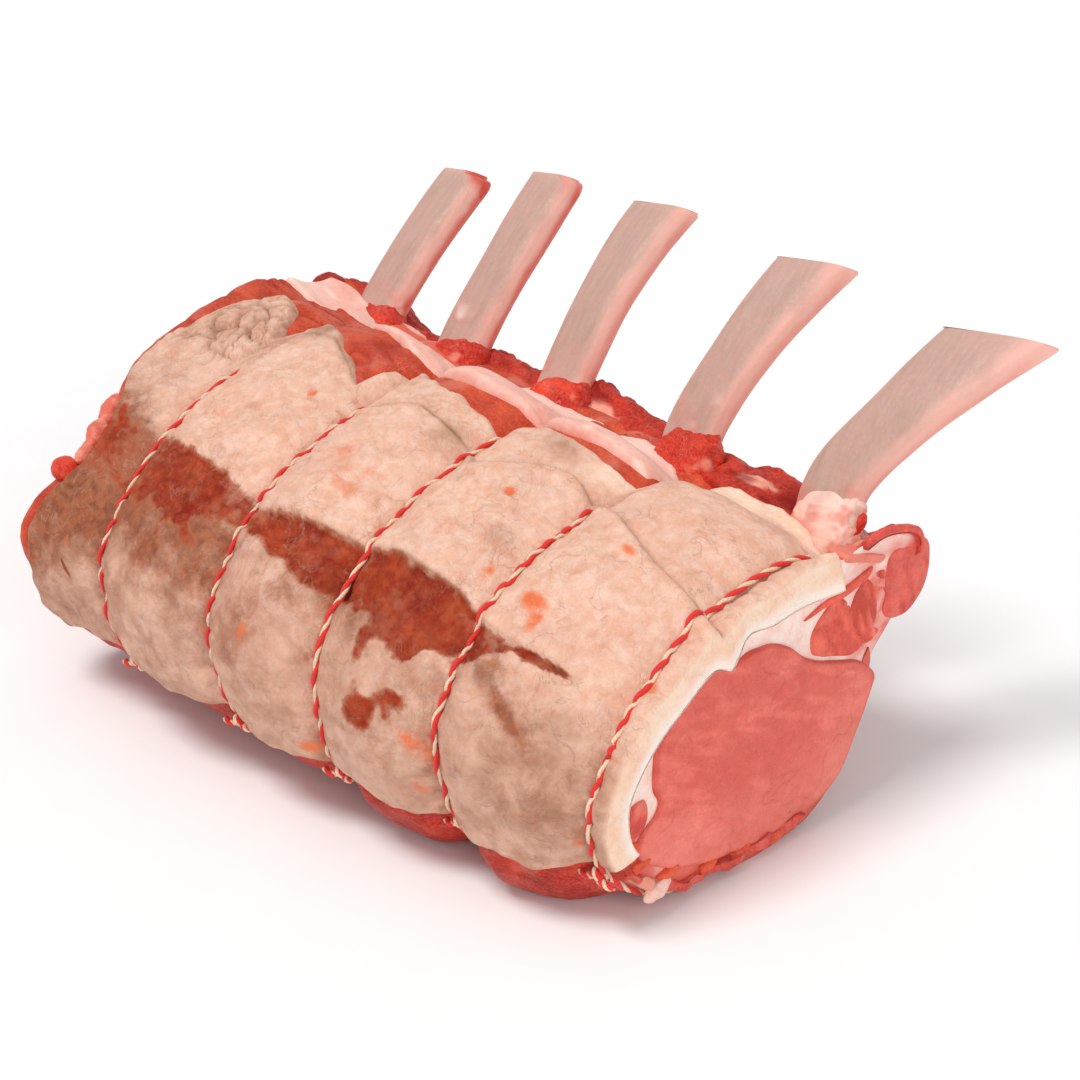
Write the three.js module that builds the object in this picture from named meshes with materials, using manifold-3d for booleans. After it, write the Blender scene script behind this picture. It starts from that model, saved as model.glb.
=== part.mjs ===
// Rack of veal: a rolled and tied rib roast with frenched rib bones. Lengths in millimetres.
// The roast lies along X with its cut face at the +X end, its fat cap towards -Y and Z up.
import * as THREE from 'three';
import { LoftGeometry } from 'three/addons/geometries/LoftGeometry.js';
import { mergeVertices } from 'three/addons/utils/BufferGeometryUtils.js';
import Module from 'manifold-3d';

const wasm = await Module();
wasm.setup();

// ---- driving dimensions -------------------------------------------------------------------
const LENGTH = 212;          // from the cut face to the far end, along the foot of the roast
const END_ROUND = 9;         // length over which the far end rounds over
const END_SHRINK = 0.07;     // how much smaller the far end gets in that length
const END_DENT = 12;         // how far the upper front of the far end is drawn in
const GROW_LENGTH = 150;     // the roast grows thicker over this length from the cut face
const GROW_WIDTH = 19;       // how much further the fat side stands out at the far end
const GROW_BACK = 0.085;     // growth in height at the bone side
const GROW_FRONT = 0.135;    // extra growth in height at the fat side
const FOOT_Y = -36;          // bone-side edge of the flat foot
const FAT_REACH = 72;        // from that edge to the fat side at the cut face
const LEAN_BACK = 0.175;     // how far the ties and the far end lean back per mm of height
const LEAN_LENGTH = 50;      // length over which that lean sets in

const LOOPS = [-168.6, -121.8, -83.1, -44.9, -5.6]; // places of the five ties along the roast
const SWELL = [3.0, 3.8, 3.8, 4.2, 4.2, 1.4];       // rise of the meat between the ties
const FOOT_SWELL = [0, 0, 0.5, 3.5, 4.5, -2];        // extra rise low on the fat side
const FOOT_TRIM = 1.8;       // how far that low part is drawn in at the far half
const RIDGE_DROP = 4.5;       // how much lower the ridge is between the ribs than at the cut face
const TWINE_RADIUS = 1.1;
const KNOT_RADIUS = 2.5;
const KNOT_STEP = 14.8;      // where the knots sit, in steps round the section
const KNOT_LIFT = 4.8;       // centre of a knot above the groove
const TWINE_LIFT = 2.15;     // centre of the twine above the groove it lies in
const GAP = 0.3;             // clearance kept between touching pieces

const FAT_THICK = 7.5;       // thickness of the fat cap
const STRIP_THICK = 5;       // thickness of the fat strip beside the ribs
const STRIP_END = -46.6;     // place where the fat strip starts, behind the second tie from the cut face
// Edges of the fat, in steps round the section from its first point.
const EDGE = { ridge: 7.42, strip: 8.86, cap: 9.2, low: 14.52 };
const RIB_ROW_Z = 85.3;      // height at which the ribs leave the meat

// One entry per rib, far to near: place along the roast, reach of the tip from the
// foot of the bare bone, width and thickness of the bone, and how much the tip flares.
const RIBS = [
  { x: -203.8, tip: [0, 38.2, 35.0], width: 16.5, thick: 10.5, flare: 1.02, bow: 0.03 },
  { x: -165.8, tip: [0, 39.3, 42.3], width: 16.5, thick: 10.5, flare: 1.05, bow: 0.02 },
  { x: -122.9, tip: [0, 40.6, 42.5], width: 17.5, thick: 11.0, flare: 1.14, bow: 0.06 },
  { x: -71.8, tip: [10, 37.2, 41.2], width: 18.5, thick: 11.5, flare: 1.26, bow: 0.06 },
  { x: -19.9, tip: [20, 37.7, 36.6], width: 19.5, thick: 12.0, flare: 1.3, bow: 0.06 },
];
const RIB_SIDES = 8;
const RIB_RINGS = [0, 0.17, 0.34, 0.5, 0.62, 0.7, 0.78, 0.86, 0.93, 1]; // along a rib, from its root
const TIP_CUT = [-0.15, 0.45, 0.88];  // direction that the sawn rib ends face

// ---- section of the roast, as (y, z) at the cut face ---------------------------------------
const BODY = [
  [-36, 3.2], [-23, 9], [-13, 24.5], [-6.5, 41], [5, 53], [13, 65], [12, 75], [-4, 81],
  [-20, 78], [-40, 78], [-58, 75], [-80, 68], [-97, 57], [-108, 41], [-108, 26], [-101, 12],
  [-88, 3.9], [-62, 3.0],
];
const EYE = [
  [-62, 61], [-54, 62], [-45, 60.5], [-37, 56], [-30, 50], [-20, 45.5], [-11, 43], [0, 38],
  [-2, 20], [-16, 0], [-33, 5.5], [-57, 5], [-74, 6.5], [-88, 11], [-94, 21], [-90.5, 31],
  [-90, 38], [-90.5, 44], [-89.5, 51], [-85, 55.5], [-78, 58.5], [-70, 60.5],
];
const UNDER = [
  [-97, 37], [-94.5, 30], [-96, 22], [-90, 10], [-75, 5.2], [-57, 3.6], [-34, 3.4], [-26, -2],
  [-34, -8], [-60, -9], [-92, -8], [-114, 2], [-116, 17.5], [-104, 18.5], [-101.5, 27], [-100, 36],
];
const CAP_NEAR = [
  [-31, 53], [-32, 56], [-30.5, 60], [-28, 63], [-25, 65], [-20, 65], [-14, 65], [-10, 66],
  [-6, 63], [-3.5, 59], [-1, 54], [-3.5, 48.5], [-8, 47], [-12, 46.5], [-21, 49],
];
const CAP_FAR = [
  [-34, 54], [-38, 59], [-43, 65], [-45, 74], [-45.6, 92], [-38.4, 92], [-37.6, 76], [-32, 70.5],
  [-20, 69], [-12, 66], [-7.5, 56], [-6.5, 50], [-9, 47.5], [-14, 47], [-24, 50.5],
];
const RIM_NEAR = [
  [18, 72], [18, 56], [11, 54], [6, 53.8], [1, 56], [-1, 59], [-1.5, 64], [-0.5, 68],
  [1, 69.5], [4, 71], [8, 71], [13, 71.5],
];
const RIM_FAR = [
  [22, 80], [20, 46], [2, 36], [-3, 42], [-3.5, 52], [-3, 60], [-6, 66], [-9, 71],
  [-9.6, 80], [-9.6, 92], [2, 96], [16, 92],
];

// ---- helpers --------------------------------------------------------------------------------
const clamp01 = (v) => Math.min(1, Math.max(0, v));
const smooth = (a, b, v) => { const t = clamp01((v - a) / (b - a)); return t * t * (3 - 2 * t); };
const mix = (a, b, t) => a + (b - a) * t;

// Place a point of the section at s along the roast: the roast grows thicker and leans back.
function place(s, y, z) {
  const grown = Math.sin(Math.PI / 2 * clamp01(-s / GROW_LENGTH));
  const side = (FOOT_Y - y) / FAT_REACH;
  const high = z * (1 + grown * (GROW_BACK + GROW_FRONT * smooth(-0.5, 0.15, side)));
  const lean = LEAN_BACK * (1 - Math.exp(Math.min(0, s) / LEAN_LENGTH));
  return new THREE.Vector3(s - lean * high, y - GROW_WIDTH * grown * (side > 0 ? side : side * 0.1), high);
}

// Sample a closed smooth outline through (y, z) points, moved outwards by an offset, with
// so many steps from each point to the next. Gives y, z and the outward direction of each.
function outline(points, steps, offset = 0) {
  const count = points.length * steps;
  const curve = new THREE.CatmullRomCurve3(points.map(([y, z]) => new THREE.Vector3(y, z, 0)), true);
  const area = points.reduce((sum, p, i) => {
    const q = points[(i + 1) % points.length];
    return sum + p[0] * q[1] - q[0] * p[1];
  }, 0);
  return Array.from({ length: count }, (_, i) => {
    const at = curve.getPoint(i / count);
    const along = curve.getTangent(i / count).multiplyScalar(Math.sign(area));
    return { y: at.x, z: at.y, ny: along.y, nz: -along.x, offset };
  }).map((p) => [p.y + p.ny * p.offset, p.z + p.nz * p.offset, p.ny, p.nz]);
}

const blend = (from, to, t) => from.map(([y, z], i) => [mix(y, to[i][0], t), mix(z, to[i][1], t)]);

// Turn a geometry into a solid, with its faces outwards.
function solid(geometry) {
  const bare = new THREE.BufferGeometry().copy(geometry);
  bare.deleteAttribute('normal');
  bare.deleteAttribute('uv');
  const merged = mergeVertices(bare, 1e-4);
  const p = merged.attributes.position.array;
  const t = Uint32Array.from(merged.index.array);
  let volume = 0;
  for (let i = 0; i < t.length; i += 3) {
    const [a, b, c] = [t[i], t[i + 1], t[i + 2]].map((k) => new THREE.Vector3().fromArray(p, 3 * k));
    volume += a.dot(b.cross(c));
  }
  if (volume < 0) for (let i = 0; i < t.length; i += 3) [t[i], t[i + 1]] = [t[i + 1], t[i]];
  return new wasm.Manifold(new wasm.Mesh({ numProp: 3, vertProperties: Float32Array.from(p), triVerts: t }));
}

const loft = (sections) => solid(new LoftGeometry(sections, { capStart: true, capEnd: true }));

// Keep the main body of a cut piece and leave out the crumbs.
function mainBody(piece) {
  const bodies = piece.simplify(0.1).decompose();
  return bodies.sort((a, b) => b.volume() - a.volume())[0];
}

function toMesh(name, piece, colour, roughness) {
  const mesh = piece.getMesh();
  const geometry = new THREE.BufferGeometry();
  geometry.setAttribute('position', new THREE.BufferAttribute(Float32Array.from(mesh.vertProperties), 3));
  geometry.setIndex(Array.from(mesh.triVerts));
  geometry.computeVertexNormals();
  const material = new THREE.MeshStandardMaterial({ color: colour, roughness, metalness: 0 });
  material.name = name;
  const result = new THREE.Mesh(geometry, material);
  result.name = name;
  return result;
}

// ---- whole body of the roast ------------------------------------------------------------------
// The stretch between two ties that holds s, and how far it has risen there, from 0 to 1.
function stretch(s) {
  const stops = [-LENGTH - 20, ...LOOPS, 12];
  const index = stops.findIndex((stop, k) => s >= stop && s <= stops[k + 1]);
  const part = (s - stops[index]) / (stops[index + 1] - stops[index]);
  return { index, risen: Math.pow(Math.max(0, Math.sin(Math.PI * part)), 0.55) };
}

// The surface of the roast at s, over one point of its section.
function surface(s, [y, z, ny, nz]) {
  const { index, risen } = stretch(s);
  const low = smooth(24, 8, z) * smooth(-74, -94, y);
  const ridge = smooth(-34, -14, y) * smooth(44, 68, z);
  const rise = risen * (SWELL[index] * (1 - ridge) + FOOT_SWELL[index] * low)
    - FOOT_TRIM * low * smooth(-45, -80, s);
  const past = clamp01((-LENGTH + END_ROUND - s) / END_ROUND);
  const shrink = 1 - END_SHRINK * (1 - Math.sqrt(1 - past * past));
  const dent = END_DENT * Math.exp(-(((y + 95) / 17) ** 2) - ((z - 59) / 14) ** 2);
  const drop = RIDGE_DROP * ridge * (smooth(0, -14, s) - smooth(-172, -196, s));
  return place(
    s + dent * smooth(-178, -205, s),
    (y + ny * rise + 45) * shrink - 45 - 0.5 * drop * smooth(0, 12, y),
    Math.max(0, (z + nz * rise - 38 - drop) * shrink + 38),
  );
}

function bodyStations() {
  const list = [-LENGTH, -LENGTH + 3, -LENGTH + 9, -186, -172];
  for (let i = 0; i < LOOPS.length; i += 1) {
    const from = LOOPS[i];
    const span = (LOOPS[i + 1] ?? 0) - from;
    const parts = i < LOOPS.length - 1 ? [0, 0.07, 0.3, 0.7, 0.93] : [0, 0.5, 1];
    parts.forEach((part) => list.push(from + span * part));
  }
  return list;
}

// The section's points, closer together over the fat than along the bone side.
const bodyRing = () => outline(BODY, 2).filter((_, i) => i % 2 === 0 || i > 11);

function bodySolid() {
  const points = bodyRing();
  return loft(bodyStations().map((s) => points.map((point) => surface(s, point))));
}

// Places along the roast where the outlines of the muscles and the fat are set.
const SLICES = [6, -8, -23, -43, -49, -82, -120, -160, -LENGTH - 8];

// A length of muscle or fat: an outline, changing from one end to the other, along the roast.
function strand(near, far, { changes = [-20, -60], offset = 0 }) {
  return loft(SLICES.map((s, i) => {
    const shape = blend(near, far, smooth(-changes[0], -changes[1], -s));
    const end = i === 0 ? offset : (i === SLICES.length - 1 ? -offset : 0);
    return outline(shape, 1, offset).map(([y, z]) => place(s + end, y, z));
  }));
}

// ---- fat --------------------------------------------------------------------------------------
// Part of the section's outline between two steps round it, moved outwards by an offset.
function arc(from, to, count, offset) {
  const fine = outline(BODY, 50, offset);
  return Array.from({ length: count }, (_, i) => fine[Math.round(mix(from, to, i / (count - 1)) * 50)]);
}

// Region that holds a layer of fat: all that is less than its thickness under the surface,
// between two edges. The near edge is given at each place along the roast.
function fatRegion(thick, from, to, places, grow = 0) {
  return loft(places.map((s, i) => {
    const inner = arc(from(s) - grow / 15, to + grow / 15, 11, -thick - grow);
    const outer = arc(from(s) - grow / 15, to + grow / 15, 7, 30).reverse();
    const end = i === 0 ? grow : (i === places.length - 1 ? -grow : 0);
    return [...inner, ...outer].map(([y, z]) => place(s + end, y, z));
  }));
}

const CAP_SLICES = [6, -20, -43.5, -46.5, -75, -115, -160, -LENGTH - 8];
const capFat = (grow) => fatRegion(FAT_THICK, (s) => (s > -45 ? EDGE.ridge : EDGE.cap), EDGE.low,
  CAP_SLICES, grow);
const stripFat = (grow) => fatRegion(STRIP_THICK, () => EDGE.ridge, EDGE.strip,
  [STRIP_END, -75, -115, -160, -LENGTH - 8], grow);

// ---- ribs -------------------------------------------------------------------------------------
// Path of a rib: up the bone side inside the meat, then out along the bare bone to past the tip.
function ribPath(rib) {
  const grown = LEAN_BACK * RIB_ROW_Z;
  const s = rib.x + grown * (1 - Math.exp(rib.x / LEAN_LENGTH));
  const hidden = [[-23, 14], [-13, 29], [-5, 43], [0, 56], [-2, 69]].map(([y, z]) => place(s, y, z));
  const foot = new THREE.Vector3(rib.x, 0, RIB_ROW_Z);
  const tip = new THREE.Vector3(...rib.tip);
  const bow = new THREE.Vector3(0, -0.707, 0.707).multiplyScalar(tip.length() * rib.bow);
  const bare = [0.4, 0.8, 1.2].map((t) => foot.clone()
    .addScaledVector(tip, t)
    .addScaledVector(bow, 4 * t * (1 - t)));
  return new THREE.CatmullRomCurve3([...hidden, foot, ...bare]);
}

function ribSolid(rib, grow = 0) {
  const path = ribPath(rib);
  const sections = RIB_RINGS.map((t) => {
    const along = path.getTangent(t);
    const at = path.getPoint(t).addScaledVector(along, t === 0 ? -grow : 0);
    const wide = new THREE.Vector3(1, 0, 0).addScaledVector(along, -along.x).normalize();
    const thick = new THREE.Vector3().crossVectors(along, wide);
    const flare = mix(0.86, 1, smooth(0.3, 0.6, t)) * mix(1, rib.flare, smooth(0.62, 0.95, t));
    const a = rib.width / 2 * flare + grow;
    const b = rib.thick / 2 * mix(1, flare, 0.4) + grow;
    return Array.from({ length: RIB_SIDES }, (_, k) => {
      const angle = 2 * Math.PI * (k + 0.5) / RIB_SIDES;
      const c = Math.cos(angle);
      const d = Math.sin(angle);
      return at.clone()
        .addScaledVector(wide, a * Math.sign(c) * Math.abs(c) ** 0.7)
        .addScaledVector(thick, b * Math.sign(d) * Math.abs(d) ** 0.7);
    });
  });
  const tip = new THREE.Vector3(...rib.tip).add(new THREE.Vector3(rib.x, 0, RIB_ROW_Z));
  const cut = new THREE.Vector3(...TIP_CUT).normalize().negate();
  return loft(sections).trimByPlane(cut.toArray(), cut.dot(tip) - grow);
}

// ---- twine ------------------------------------------------------------------------------------
function twineSolid(s) {
  const ring = bodyRing().map(([y, z, ny, nz]) => {
    const at = surface(s, [y, z, ny, nz]).add(new THREE.Vector3(0, ny, nz).multiplyScalar(TWINE_LIFT));
    at.z = Math.max(at.z, TWINE_RADIUS + 0.05);
    return at;
  });
  const centre = ring.reduce((sum, p) => sum.add(p), new THREE.Vector3()).divideScalar(ring.length);
  const sections = ring.map((at, i) => {
    const along = ring[(i + 1) % ring.length].clone().sub(ring.at(i - 1)).normalize();
    const away = at.clone().sub(centre);
    away.addScaledVector(along, -away.dot(along)).normalize();
    const across = new THREE.Vector3().crossVectors(along, away);
    return Array.from({ length: 4 }, (_, k) => {
      const angle = 2 * Math.PI * (k + 0.5) / 4;
      return at.clone()
        .addScaledVector(away, TWINE_RADIUS * Math.cos(angle))
        .addScaledVector(across, TWINE_RADIUS * Math.sin(angle));
    });
  });
  return solid(new LoftGeometry([...sections, sections[0]]));
}

// The knot of each tie sits low on the fat side, a little proud of the twine.
function knotSolid(s) {
  const ball = new THREE.SphereGeometry(KNOT_RADIUS, 6, 4);
  ball.scale(1.25, 1, 1);
  const [point] = arc(KNOT_STEP, KNOT_STEP, 2, 0);
  const at = surface(s, point).add(new THREE.Vector3(0, point[2], point[3]).multiplyScalar(KNOT_LIFT));
  ball.translate(at.x, at.y, at.z);
  return solid(ball);
}

// ---- assembly ---------------------------------------------------------------------------------
const body = bodySolid();
const strands = {
  eye: [EYE, EYE],
  under: [UNDER, UNDER],
  cap: [CAP_NEAR, CAP_FAR, [-43, -49]],
  rim: [RIM_NEAR, RIM_FAR, [-8, -24]],
};
const cores = {};
const shells = { capFat: capFat(GAP), stripFat: stripFat(GAP) };
for (const [name, [near, far, changes]] of Object.entries(strands)) {
  cores[name] = strand(near, far, { changes });
  shells[name] = strand(near, far, { changes, offset: GAP });
}
const ribs = RIBS.map((rib) => ribSolid(rib));
const ribShells = RIBS.map((rib) => ribSolid(rib, GAP));

// What lies within a region of the body, less the ribs and the neighbours that pass through it.
function within(region, neighbours) {
  const others = [...neighbours.map((name) => shells[name]), ...ribShells];
  return mainBody(body.intersect(region).subtract(wasm.Manifold.union(others)));
}

const pieces = [
  ['eye_of_loin', within(cores.eye, ['under', 'cap', 'rim']), 0xc4524b, 0.5],
  ['under_lean', within(cores.under, []), 0xa8352c, 0.5],
  ['rib_cap_muscle', within(cores.cap, ['rim']), 0xb5403a, 0.5],
  ['rim_lean', within(cores.rim, []), 0x8e2622, 0.5],
  ['fat_cap', within(capFat(0), ['under', 'cap', 'rim', 'eye']), 0xe9cdb0, 0.6],
  ['fat_strip', within(stripFat(0), ['capFat', 'cap', 'rim']), 0xebc2b0, 0.6],
  ['seam_fat', within(body, Object.keys(shells)), 0xf1e4da, 0.6],
];
ribs.forEach((rib, i) => pieces.push([`rib_${i + 1}`, rib, 0xd9bcae, 0.45]));
LOOPS.forEach((s, i) => pieces.push([`twine_${i + 1}`, twineSolid(s).add(knotSolid(s)).simplify(0.2), 0xd23a2e, 0.8]));

const roast = new THREE.Group();
roast.name = 'rack_of_veal';
for (const [name, piece, colour, roughness] of pieces) roast.add(toMesh(name, piece, colour, roughness));

// The origin is at the middle of the foot of the whole roast.
const box = new THREE.Box3().setFromObject(roast);
const middle = box.getCenter(new THREE.Vector3());
for (const mesh of roast.children) mesh.geometry.translate(-middle.x, -middle.y, -box.min.z);

export default roast;
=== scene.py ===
"""Rack of veal: a rolled and tied rib roast with five bare rib bones.

Shapes are worked out in the roast's own frame, in millimetres: x is 0 at the cut face and
negative towards the far end, the fat cap faces -Y, and Z is up from the board. A place on the
skin is (s, a): s along the roast and a, the girth, round the section from the foot of the bone
side, over the ridge and down the fat side.
"""

import math
from types import SimpleNamespace

import bmesh
import bpy
import numpy as np
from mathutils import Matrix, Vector


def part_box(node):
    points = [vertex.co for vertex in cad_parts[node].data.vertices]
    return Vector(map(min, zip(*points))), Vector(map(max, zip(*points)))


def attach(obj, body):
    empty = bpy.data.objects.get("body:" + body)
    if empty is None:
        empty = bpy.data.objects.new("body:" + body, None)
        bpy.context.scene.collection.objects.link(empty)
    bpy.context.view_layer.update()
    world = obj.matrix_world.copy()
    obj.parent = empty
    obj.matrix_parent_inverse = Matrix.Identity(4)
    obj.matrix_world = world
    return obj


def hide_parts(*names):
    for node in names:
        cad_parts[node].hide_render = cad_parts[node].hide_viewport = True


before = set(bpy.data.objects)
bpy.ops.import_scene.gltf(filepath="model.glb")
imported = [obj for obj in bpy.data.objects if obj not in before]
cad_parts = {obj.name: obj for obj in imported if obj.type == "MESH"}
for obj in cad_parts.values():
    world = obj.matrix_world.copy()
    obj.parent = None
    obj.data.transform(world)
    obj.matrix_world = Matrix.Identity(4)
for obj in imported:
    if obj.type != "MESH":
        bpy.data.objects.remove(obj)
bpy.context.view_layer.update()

MM = 0.001
# The cut face is the +X face of the eye; the rib row stands this far from the middle of the box.
CUT_FACE_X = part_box("eye_of_loin")[1].x
RIB_ROW_Y = 0.042566

# ---- driving dimensions, as the solids have them ----------------------------------------------------
LENGTH = 212
END_ROUND = 9           # the far end is rounded over this length
END_SHRINK = 0.07       # and drawn in by this share
END_DENT = 12           # and set back this far in a dent on its fat side
GROW_LENGTH = 150       # the roast thickens over this length, away from the cut face
GROW_WIDTH = 19         # how much wider it gets towards the fat side
GROW_BACK = 0.085       # how much higher it gets, as a share, at the bone side
GROW_FRONT = 0.135      # and how much more on the fat side
FOOT_Y = -36            # the line about which it widens
FAT_REACH = 72          # from that line to the outermost fat
LEAN_BACK = 0.175       # the sections lean towards the far end by this share of their height
LEAN_LENGTH = 50        # a length over which that lean sets in
LOOPS = [-168.6, -121.8, -83.1, -44.9, -5.6]            # where the five ties run
SWELL = np.array([3.0, 3.8, 3.8, 4.2, 4.2, 1.4])        # swelling of each stretch between the ties
FOOT_SWELL = np.array([0, 0, 0.5, 3.5, 4.5, -2])        # how much more low on the fat side
FOOT_TRIM = 1.8         # and how much less there towards the far end
RIDGE_DROP = 4.5        # how far the ridge lies below its height at the two ends
RIB_ROW_Z = 85.3        # height at which the bare bones start
# The section at the cut face, as (y, z), from the foot of the bone side over the ridge to the fat.
BODY = np.array([
    (-36, 3.2), (-23, 9), (-13, 24.5), (-6.5, 41), (5, 53), (13, 65), (12, 75), (-4, 81),
    (-20, 78), (-40, 78), (-58, 75), (-80, 68), (-97, 57), (-108, 41), (-108, 26), (-101, 12),
    (-88, 3.9), (-62, 3.0)], float)
MIDDLE = np.array([-45.0, 38.0])    # about which the far end draws in
FAR_SLANT = 2.5         # how far the top of the far end is set back
NEAR_PINCH = 2.6        # how far the last tie draws in the fat at the cut end
UNDER_TUCK = 3.0        # how far the lower front edge is tucked in
FIN_DROP = 4.0          # how far the ridge falls away behind its cut edge


# ---- small mathematics ------------------------------------------------------------------------------
def smooth(low, high, value):
    t = np.clip((np.asarray(value, float) - low) / (high - low), 0, 1)
    return t * t * (3 - 2 * t)


def bell(value, middle, width):
    return np.exp(-((np.asarray(value, float) - middle) / width) ** 2)


def lattice(ix, iy, iz, seed):
    h = (ix * 374761393 + iy * 668265263 + iz * 1440662683 + seed * 974634777) & 0xFFFFFFFF
    h = ((h ^ (h >> 13)) * 1274126177) & 0xFFFFFFFF
    return ((h ^ (h >> 16)) & 0xFFFF) / 32767.5 - 1


def noise(points, scale, seed=0):
    """Smooth noise between -1 and 1 at (n, 3) points; scale is the size of its lumps."""
    q = points / scale
    cell = np.floor(q).astype(np.int64)
    f = q - cell
    f = f * f * (3 - 2 * f)
    total = 0
    for dx in (0, 1):
        for dy in (0, 1):
            for dz in (0, 1):
                weight = (np.abs(1 - dx - f[..., 0]) * np.abs(1 - dy - f[..., 1])
                          * np.abs(1 - dz - f[..., 2]))
                corner = lattice(cell[..., 0] + dx, cell[..., 1] + dy, cell[..., 2] + dz, seed)
                total = total + weight * corner
    return total


def layered(points, scale, octaves=4, seed=0, keep=0.5):
    """Noise with finer and finer detail added."""
    total, size = 0, 0
    for k in range(octaves):
        total = total + keep ** k * noise(points, scale / 2 ** k, seed + 17 * k)
        size += keep ** k
    return total / size


def flat_noise(s, a, scale_s, scale_a, octaves=3, seed=0):
    """Layered noise over the skin, with its own scale along the roast and round it."""
    at = np.stack([s / scale_s, a / scale_a, np.zeros_like(s * a)], -1)
    return layered(at, 1.0, octaves, seed)


def ridged(value, sharp=1.0):
    """Turns noise into creases: 1 on a crease, 0 away from it."""
    return np.clip(1 - np.abs(value) * 2.2, 0, 1) ** sharp


def spline(p0, p1, p2, p3, w):
    """A smooth curve through four points: place and direction at share w of the way from p1 to p2."""
    def gap(a, b):
        return np.maximum(((a - b) ** 2).sum(-1, keepdims=True) ** 0.25, 1e-4)

    d0, d1, d2 = gap(p0, p1), gap(p1, p2), gap(p2, p3)
    t1 = ((p1 - p0) / d0 - (p2 - p0) / (d0 + d1) + (p2 - p1) / d1) * d1
    t2 = ((p2 - p1) / d1 - (p3 - p1) / (d1 + d2) + (p3 - p2) / d2) * d1
    c2 = -3 * p1 + 3 * p2 - 2 * t1 - t2
    c3 = 2 * p1 - 2 * p2 + t1 + t2
    return p1 + t1 * w + c2 * w ** 2 + c3 * w ** 3, t1 + 2 * c2 * w + 3 * c3 * w ** 2


def closed_curve(points, t):
    """Smooth closed outline through points, at t counted in points from the first."""
    p = np.asarray(points, float)
    n = len(p)
    t = np.asarray(t, float) % n
    i = np.floor(t).astype(int)
    return spline(p[(i - 1) % n], p[i % n], p[(i + 1) % n], p[(i + 2) % n], (t - i)[..., None])


def open_curve(points, t):
    """Smooth open curve through points, with t from 0 to 1."""
    p = np.asarray(points, float)
    p = np.vstack([2 * p[0] - p[1], p, 2 * p[-1] - p[-2]])
    x = np.clip(np.asarray(t, float), 0, 1) * (len(p) - 3)
    i = np.minimum(np.floor(x).astype(int), len(p) - 4)
    return spline(p[i], p[i + 1], p[i + 2], p[i + 3], (x - i)[..., None])


def outline(points, t):
    """A closed outline's points and outward directions."""
    p, along = closed_curve(points, t)
    along = along / np.linalg.norm(along, axis=-1, keepdims=True)
    q = np.asarray(points, float)
    area = np.sum(q[:, 0] * np.roll(q[:, 1], -1) - np.roll(q[:, 0], -1) * q[:, 1])
    along = along * np.sign(area)
    return p, np.stack([along[..., 1], -along[..., 0]], -1)


def unit(vectors):
    return vectors / np.linalg.norm(vectors, axis=-1, keepdims=True)


def follow(stops, s):
    """Value at s of a line given as (s, value) stops."""
    places, values = np.array(stops, float).T
    return np.interp(s, places, values)


# ---- the roast's form -------------------------------------------------------------------------------
FINE_STEPS = np.linspace(0, len(BODY), 3601)
FINE_OUTLINE = closed_curve(BODY, FINE_STEPS)[0]
FINE_GIRTH = np.concatenate([[0], np.cumsum(np.linalg.norm(np.diff(FINE_OUTLINE, axis=0), axis=1))])
GIRTH = FINE_GIRTH[-1]
# The section again, as its girth and its reach in each direction from its core.
CORE = np.array([-48.0, 35.0])
TO_RIM = FINE_OUTLINE[:-1] - CORE
BY_ANGLE = np.argsort(np.arctan2(TO_RIM[:, 1], TO_RIM[:, 0]))
RIM_ANGLE = np.arctan2(TO_RIM[:, 1], TO_RIM[:, 0])[BY_ANGLE]
RIM_GIRTH = FINE_GIRTH[:-1][BY_ANGLE]
RIM_REACH = np.linalg.norm(TO_RIM, axis=1)[BY_ANGLE]


def place(s, y, z):
    """A point of the section at s: the roast grows thicker and leans back."""
    s, y, z = np.broadcast_arrays(np.asarray(s, float), y, z)
    grown = np.sin(np.pi / 2 * np.clip(-s / GROW_LENGTH, 0, 1))
    side = (FOOT_Y - y) / FAT_REACH
    high = z * (1 + grown * (GROW_BACK + GROW_FRONT * smooth(-0.5, 0.15, side)))
    lean = LEAN_BACK * (1 - np.exp(np.minimum(0, s) / LEAN_LENGTH))
    return np.stack([
        s - lean * high,
        y - GROW_WIDTH * grown * np.where(side > 0, side, side * 0.1),
        high], -1)


def stretch(s):
    """Which stretch between two ties holds s, and how far it has risen there."""
    stops = np.array([-LENGTH - 20, *LOOPS, 12])
    index = np.clip(np.searchsorted(stops, s, side="right") - 1, 0, len(stops) - 2)
    part = (s - stops[index]) / (stops[index + 1] - stops[index])
    return index, np.maximum(0, np.sin(np.pi * part)) ** 0.55


def end_shrink(s):
    past = np.clip((-LENGTH + END_ROUND - s) / END_ROUND, 0, 1)
    return 1 - END_SHRINK * (1 - np.sqrt(1 - past * past))


def far_shift(s, a, y, z):
    """How far the far end is set back towards the middle: a dent low down and a slanted top."""
    dent = END_DENT * bell(y, -95, 17) * bell(z, 59, 14) * smooth(-178, -205, s)
    slant = FAR_SLANT * smooth(138, 178, a) * smooth(203, 190, a) * smooth(-170, -212, s)
    return dent + slant


def pinch(s, a):
    """How far in the skin is drawn: by the last tie at the cut end, and along the lower front edge."""
    near = NEAR_PINCH * smooth(-16, -4, s) * smooth(172, 198, a) * smooth(268, 246, a)
    tucked = UNDER_TUCK * bell(a, 264, 16) * (bell(s, -45, 7) + bell(s, -6, 12))
    lower_left = (3.0 * bell(a, 200, 14) - 2.2 * bell(a, 230, 9)) * smooth(-190, -210, s)
    return near + tucked + lower_left


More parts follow.
